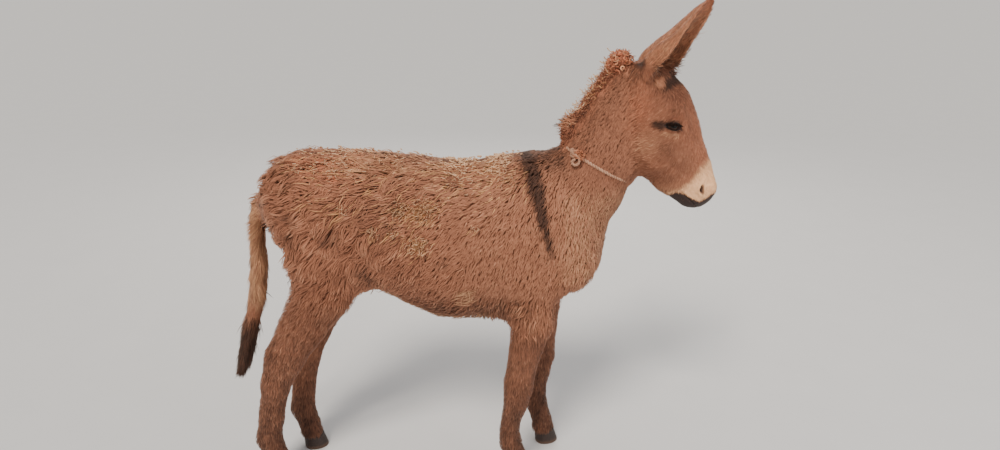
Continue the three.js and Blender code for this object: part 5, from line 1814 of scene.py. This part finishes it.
# %% Grow lashes and whiskers
for word, side in SIDES.items():
    centre, along, up, out = eye_frame(side)
    rng = np.random.default_rng(SEED + 900 + side)
    count, upper_count = 230, 180
    lon = np.concatenate([rng.uniform(-58, 60, upper_count), rng.uniform(-48, 50, count - upper_count)])
    is_upper = np.arange(count) < upper_count
    high, low = slit_edges(lon)
    lat = np.where(is_upper, high + rng.uniform(0.5, 4.0, count), low - rng.uniform(0.5, 2.5, count))
    lat = np.radians(lat)
    lon_r = np.radians(lon)
    level = out * np.cos(lon_r)[:, None] + along * np.sin(lon_r)[:, None]
    radial = level * np.cos(lat)[:, None] + up * np.sin(lat)[:, None]
    at = centre + radial * (EYE["radius"] + EYE["lid"] + 0.0002)
    fan = along * (np.sin(lon_r) * 0.55)[:, None]
    way = np.where(is_upper[:, None], out * 0.80 - up * 0.72, out * 0.9 - up * 0.35) + fan
    way = way + rng.normal(0, 0.10, (count, 3))
    reach = np.where(is_upper, 0.0150 * (0.55 + 0.45 * np.cos(lon_r * 1.2)), 0.0060)
    reach = reach * rng.uniform(0.75, 1.15, count)
    lean = np.tile(up, (count, 1)) * np.where(is_upper, 1.0, -1.0)[:, None]
    points = points_of(f"lash_points_{word}", at, unit(way), lean, reach)
    lashes = grown(f"lashes_{word}", points, BRISTLES, LASH,
                   Width=0.045, Thickness=0.045, Bend=0.22, Taper=0.9, Steps=5, Sides=3)


s_at, d_at = head_coords(V)
lips = smooth(0.325, 0.345, s_at) * (V[:, 2] < 0.88) * smooth(0.015, -0.03, d_at)
chosen = np.flatnonzero(lips > 0.3)
rng = np.random.default_rng(SEED + 950)
count = 110
picked = rng.choice(chosen, count, replace=False)
way = unit(N[picked] + 0.5 * LIE[picked] + rng.normal(0, 0.2, (count, 3)))
points = points_of("whisker_points", V[picked], way, LIE[picked], rng.uniform(0.006, 0.017, count))
whiskers = grown("whiskers", points, BRISTLES, WHISKER,
                 Width=0.02, Thickness=0.02, Bend=0.2, Taper=0.9, Steps=6, Sides=3)

# %% [markdown]
# ## Rope collar
# A thin twine of two strands goes once round the root of the neck, with a knot near the withers and a short
# curled end. Its loop is found by casting outwards from the middle of the neck to the solids' surface, and
# it sinks into the coat.

# %% Lay the twine
solid_trees = []
for node in ("head", "neck", "trunk"):
    data = frame["nodes"][node].data
    corners, faces = [v.co[:] for v in data.vertices], [p.vertices[:] for p in data.polygons]
    solid_trees.append(BVHTree.FromPolygons(corners, faces))
middle, slope = np.array(COLLAR["middle"]), np.array(COLLAR["slope"])
turns = np.linspace(0, 2 * math.pi, 72, endpoint=False)[:, None]
rays = slope * np.cos(turns) + np.array([0.0, 1.0, 0.0]) * np.sin(turns)
loop = []
for way in rays:
    hits = [tree.ray_cast(Vector(middle), Vector(way), 0.16)[0] for tree in solid_trees]
    reach = max((np.linalg.norm(np.array(hit) - middle) for hit in hits if hit is not None), default=0.08)
    loop.append(reach - 0.0006)
loop = np.array(loop)
for _ in range(6):
    loop = 0.5 * loop + 0.25 * (np.roll(loop, 1) + np.roll(loop, -1))
ring_path = middle + rays * loop[:, None]
rope = grown("rope_loop", path_of("rope_path", ring_path, closed=True), TWINE, ROPE,
             Points=520, Turns=33.0, Lay=0.0021, Strand=0.0024, Sides=8)
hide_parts("collar_rope")
knot_at = np.array([0.285, -0.0605, 0.961])
t = np.linspace(0, 2 * math.pi, 60, endpoint=False)
knot_path = [np.sin(t) + 2 * np.sin(2 * t), np.cos(t) - 2 * np.cos(2 * t), -1.2 * np.sin(3 * t)]
knot_path = np.stack(knot_path, 1) * 0.0034
knot_path = knot_path @ np.array([[0.85, 0.25, -0.46], [0.35, 0.35, 0.87], [0.38, -0.90, 0.2]]) + knot_at
knot = grown("rope_knot", path_of("knot_path", knot_path, closed=True), TWINE, ROPE,
             Points=200, Turns=12.0, Lay=0.0016, Strand=0.0020, Sides=7)
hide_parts("collar_knot")
end_points = np.array([
    (287, -63, 956), (298, -69, 952), (307, -73, 944), (307, -75, 933), (299, -76, 927), (291, -76, 931),
    (291, -76, 939), (297, -77, 942),
]) * MM + np.array([-0.011, 0.001, 0.006])
end = grown("rope_end", path_of("end_path", through(end_points, 40)), TWINE, ROPE,
            Points=110, Turns=6.0, Lay=0.0017, Strand=0.0021, Sides=7)
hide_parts("collar_end")

# %% [markdown]
# ## Straw in the coat
# The donkey has lain in chaff. Short chips and shavings cling to the flank, the back and the mane, caught
# just under the tips of the coat.

# %% Scatter the chips
def clinging(rng, weight, count, low, high, turn, hug, sink=0.0):
    """Random points just under the coat's tips, and ways that lie nearly flat on it."""
    picked = rng.choice(len(V), count, replace=False, p=weight / weight.sum())
    at = V[picked] + N[picked] * (coat_depth(V[picked]) * rng.uniform(low, high, count))[:, None]
    at = at + rng.normal(0, 0.002, (count, 3))
    way = LIE[picked] + rng.normal(0, turn, (count, 3))
    return picked, at, unit(way - N[picked] * (hug * (way * N[picked]).sum(1) + sink)[:, None])


back = smooth(0.86, 0.92, V[:, 2]) * smooth(0.16, 0.08, V[:, 0]) * smooth(-0.5, -0.4, V[:, 0])
rng = np.random.default_rng(SEED + 970)
count = 1100
picked, at, way = clinging(rng, MARKS["straw"] ** 3 + 0.0012 * back, count, 0.78, 1.0, 0.7, 0.9, 0.05)
reach = rng.uniform(0.005, 0.013, count) * rng.uniform(0.6, 1.0, count)
points = points_of("chip_points", at, way, N[picked], reach)
chips = grown("straw_chips", points, BRISTLES, STRAW,
              Width=0.40, Thickness=0.08, Bend=0.25, Taper=0.30, Steps=3, Sides=4)
count = 210
picked, at, way = clinging(rng, MARKS["straw"] ** 6, count, 0.90, 1.04, 1.0, 0.85)
points = points_of("flake_points", at, way, N[picked], rng.uniform(0.005, 0.011, count))
flakes = grown("straw_flakes", points, BRISTLES, STRAW,
               Width=0.62, Thickness=0.10, Bend=0.15, Taper=0.2, Steps=2, Sides=4)
count = 120
rng, start, stand, room, way = crest(MANE_LINE[2:], count, BACKWARDS, 9, -0.5, 0.2, jitter=0.8)
lift = room * rng.uniform(0.55, 0.85, count)
way = unit(np.cross(stand, rng.normal(size=(count, 3))))
at = start + stand * lift[:, None]
points = points_of("shaving_points", at, way, stand, rng.uniform(0.006, 0.014, count))
shavings = grown("mane_shavings", points, BRISTLES, STRAW,
                 Width=0.22, Thickness=0.05, Bend=0.9, Taper=0.3, Steps=6, Sides=4)

# %% [markdown]
# ## Camera, floor and light
# The camera stands a little above the animal's back, looking down at its right side. A pale floor and
# soft studio light keep the shape readable.

# %% Stage
def matte(name, colour):
    mat, hand, shader = material(name, Roughness=0.9)
    grain = hand.noise(6.0, 4.0, hand.place())
    r, g, b = colour
    shade = hand.mix(grain, (r * 0.95, g * 0.95, b * 0.95, 1), (r, g, b, 1))
    hand.link(shade, shader.inputs["Base Color"])
    return mat


floor = object_of(mesh_of("floor", [(-60, -60, 0), (60, -60, 0), (60, 60, 0), (-60, 60, 0)], [(0, 1, 2, 3)]))
floor.data.materials.append(matte("floor_paper", (0.74, 0.72, 0.70)))
scene = bpy.context.scene
camera_data = bpy.data.cameras.new("camera")
camera_data.lens, camera_data.sensor_width = 26.17, 36
camera = bpy.data.objects.new("camera", camera_data)
camera.location = (0.100, -1.830, 1.400)
camera.rotation_euler = (math.radians(70.4), 0, 0)
scene.collection.objects.link(camera)
scene.camera = camera


def area_light(name, at, towards, power, size, colour):
    data = bpy.data.lights.new(name, "AREA")
    data.energy, data.size, data.color = power, size, colour
    obj = bpy.data.objects.new(name, data)
    obj.location = at
    obj.rotation_euler = (Vector(towards) - Vector(at)).to_track_quat("-Z", "Y").to_euler()
    scene.collection.objects.link(obj)


sun = bpy.data.lights.new("key", "SUN")
sun.energy, sun.angle, sun.color = 2.9, math.radians(18), (1.0, 0.94, 0.86)
key = bpy.data.objects.new("key", sun)
key.rotation_euler = (Vector((0, 0, 0)) - Vector((-0.75, -2.0, 2.5))).to_track_quat("-Z", "Y").to_euler()
scene.collection.objects.link(key)
area_light("fill", (2.6, -1.8, 1.5), (0.1, 0, 0.6), 26, 2.0, (0.95, 0.96, 1.0))
area_light("back", (0.2, 3.0, 2.6), (0, 0, 0.7), 45, 2.0, (1.0, 0.97, 0.93))
world = bpy.data.worlds.new("studio")
world.use_nodes = True
world.node_tree.nodes["Background"].inputs["Color"].default_value = (0.80, 0.82, 0.85, 1)
world.node_tree.nodes["Background"].inputs["Strength"].default_value = 0.52
scene.world = world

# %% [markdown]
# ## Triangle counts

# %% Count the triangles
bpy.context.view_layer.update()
coat_total = sum(len(triangles(o.data)) for o in COAT_PIECES.values())
pieces = [o for o in bpy.data.objects if o.type == "MESH" and o.name not in frame["nodes"] and o != floor]
print("triangles in the coat", coat_total, "in every piece", sum(len(triangles(o.data)) for o in pieces))
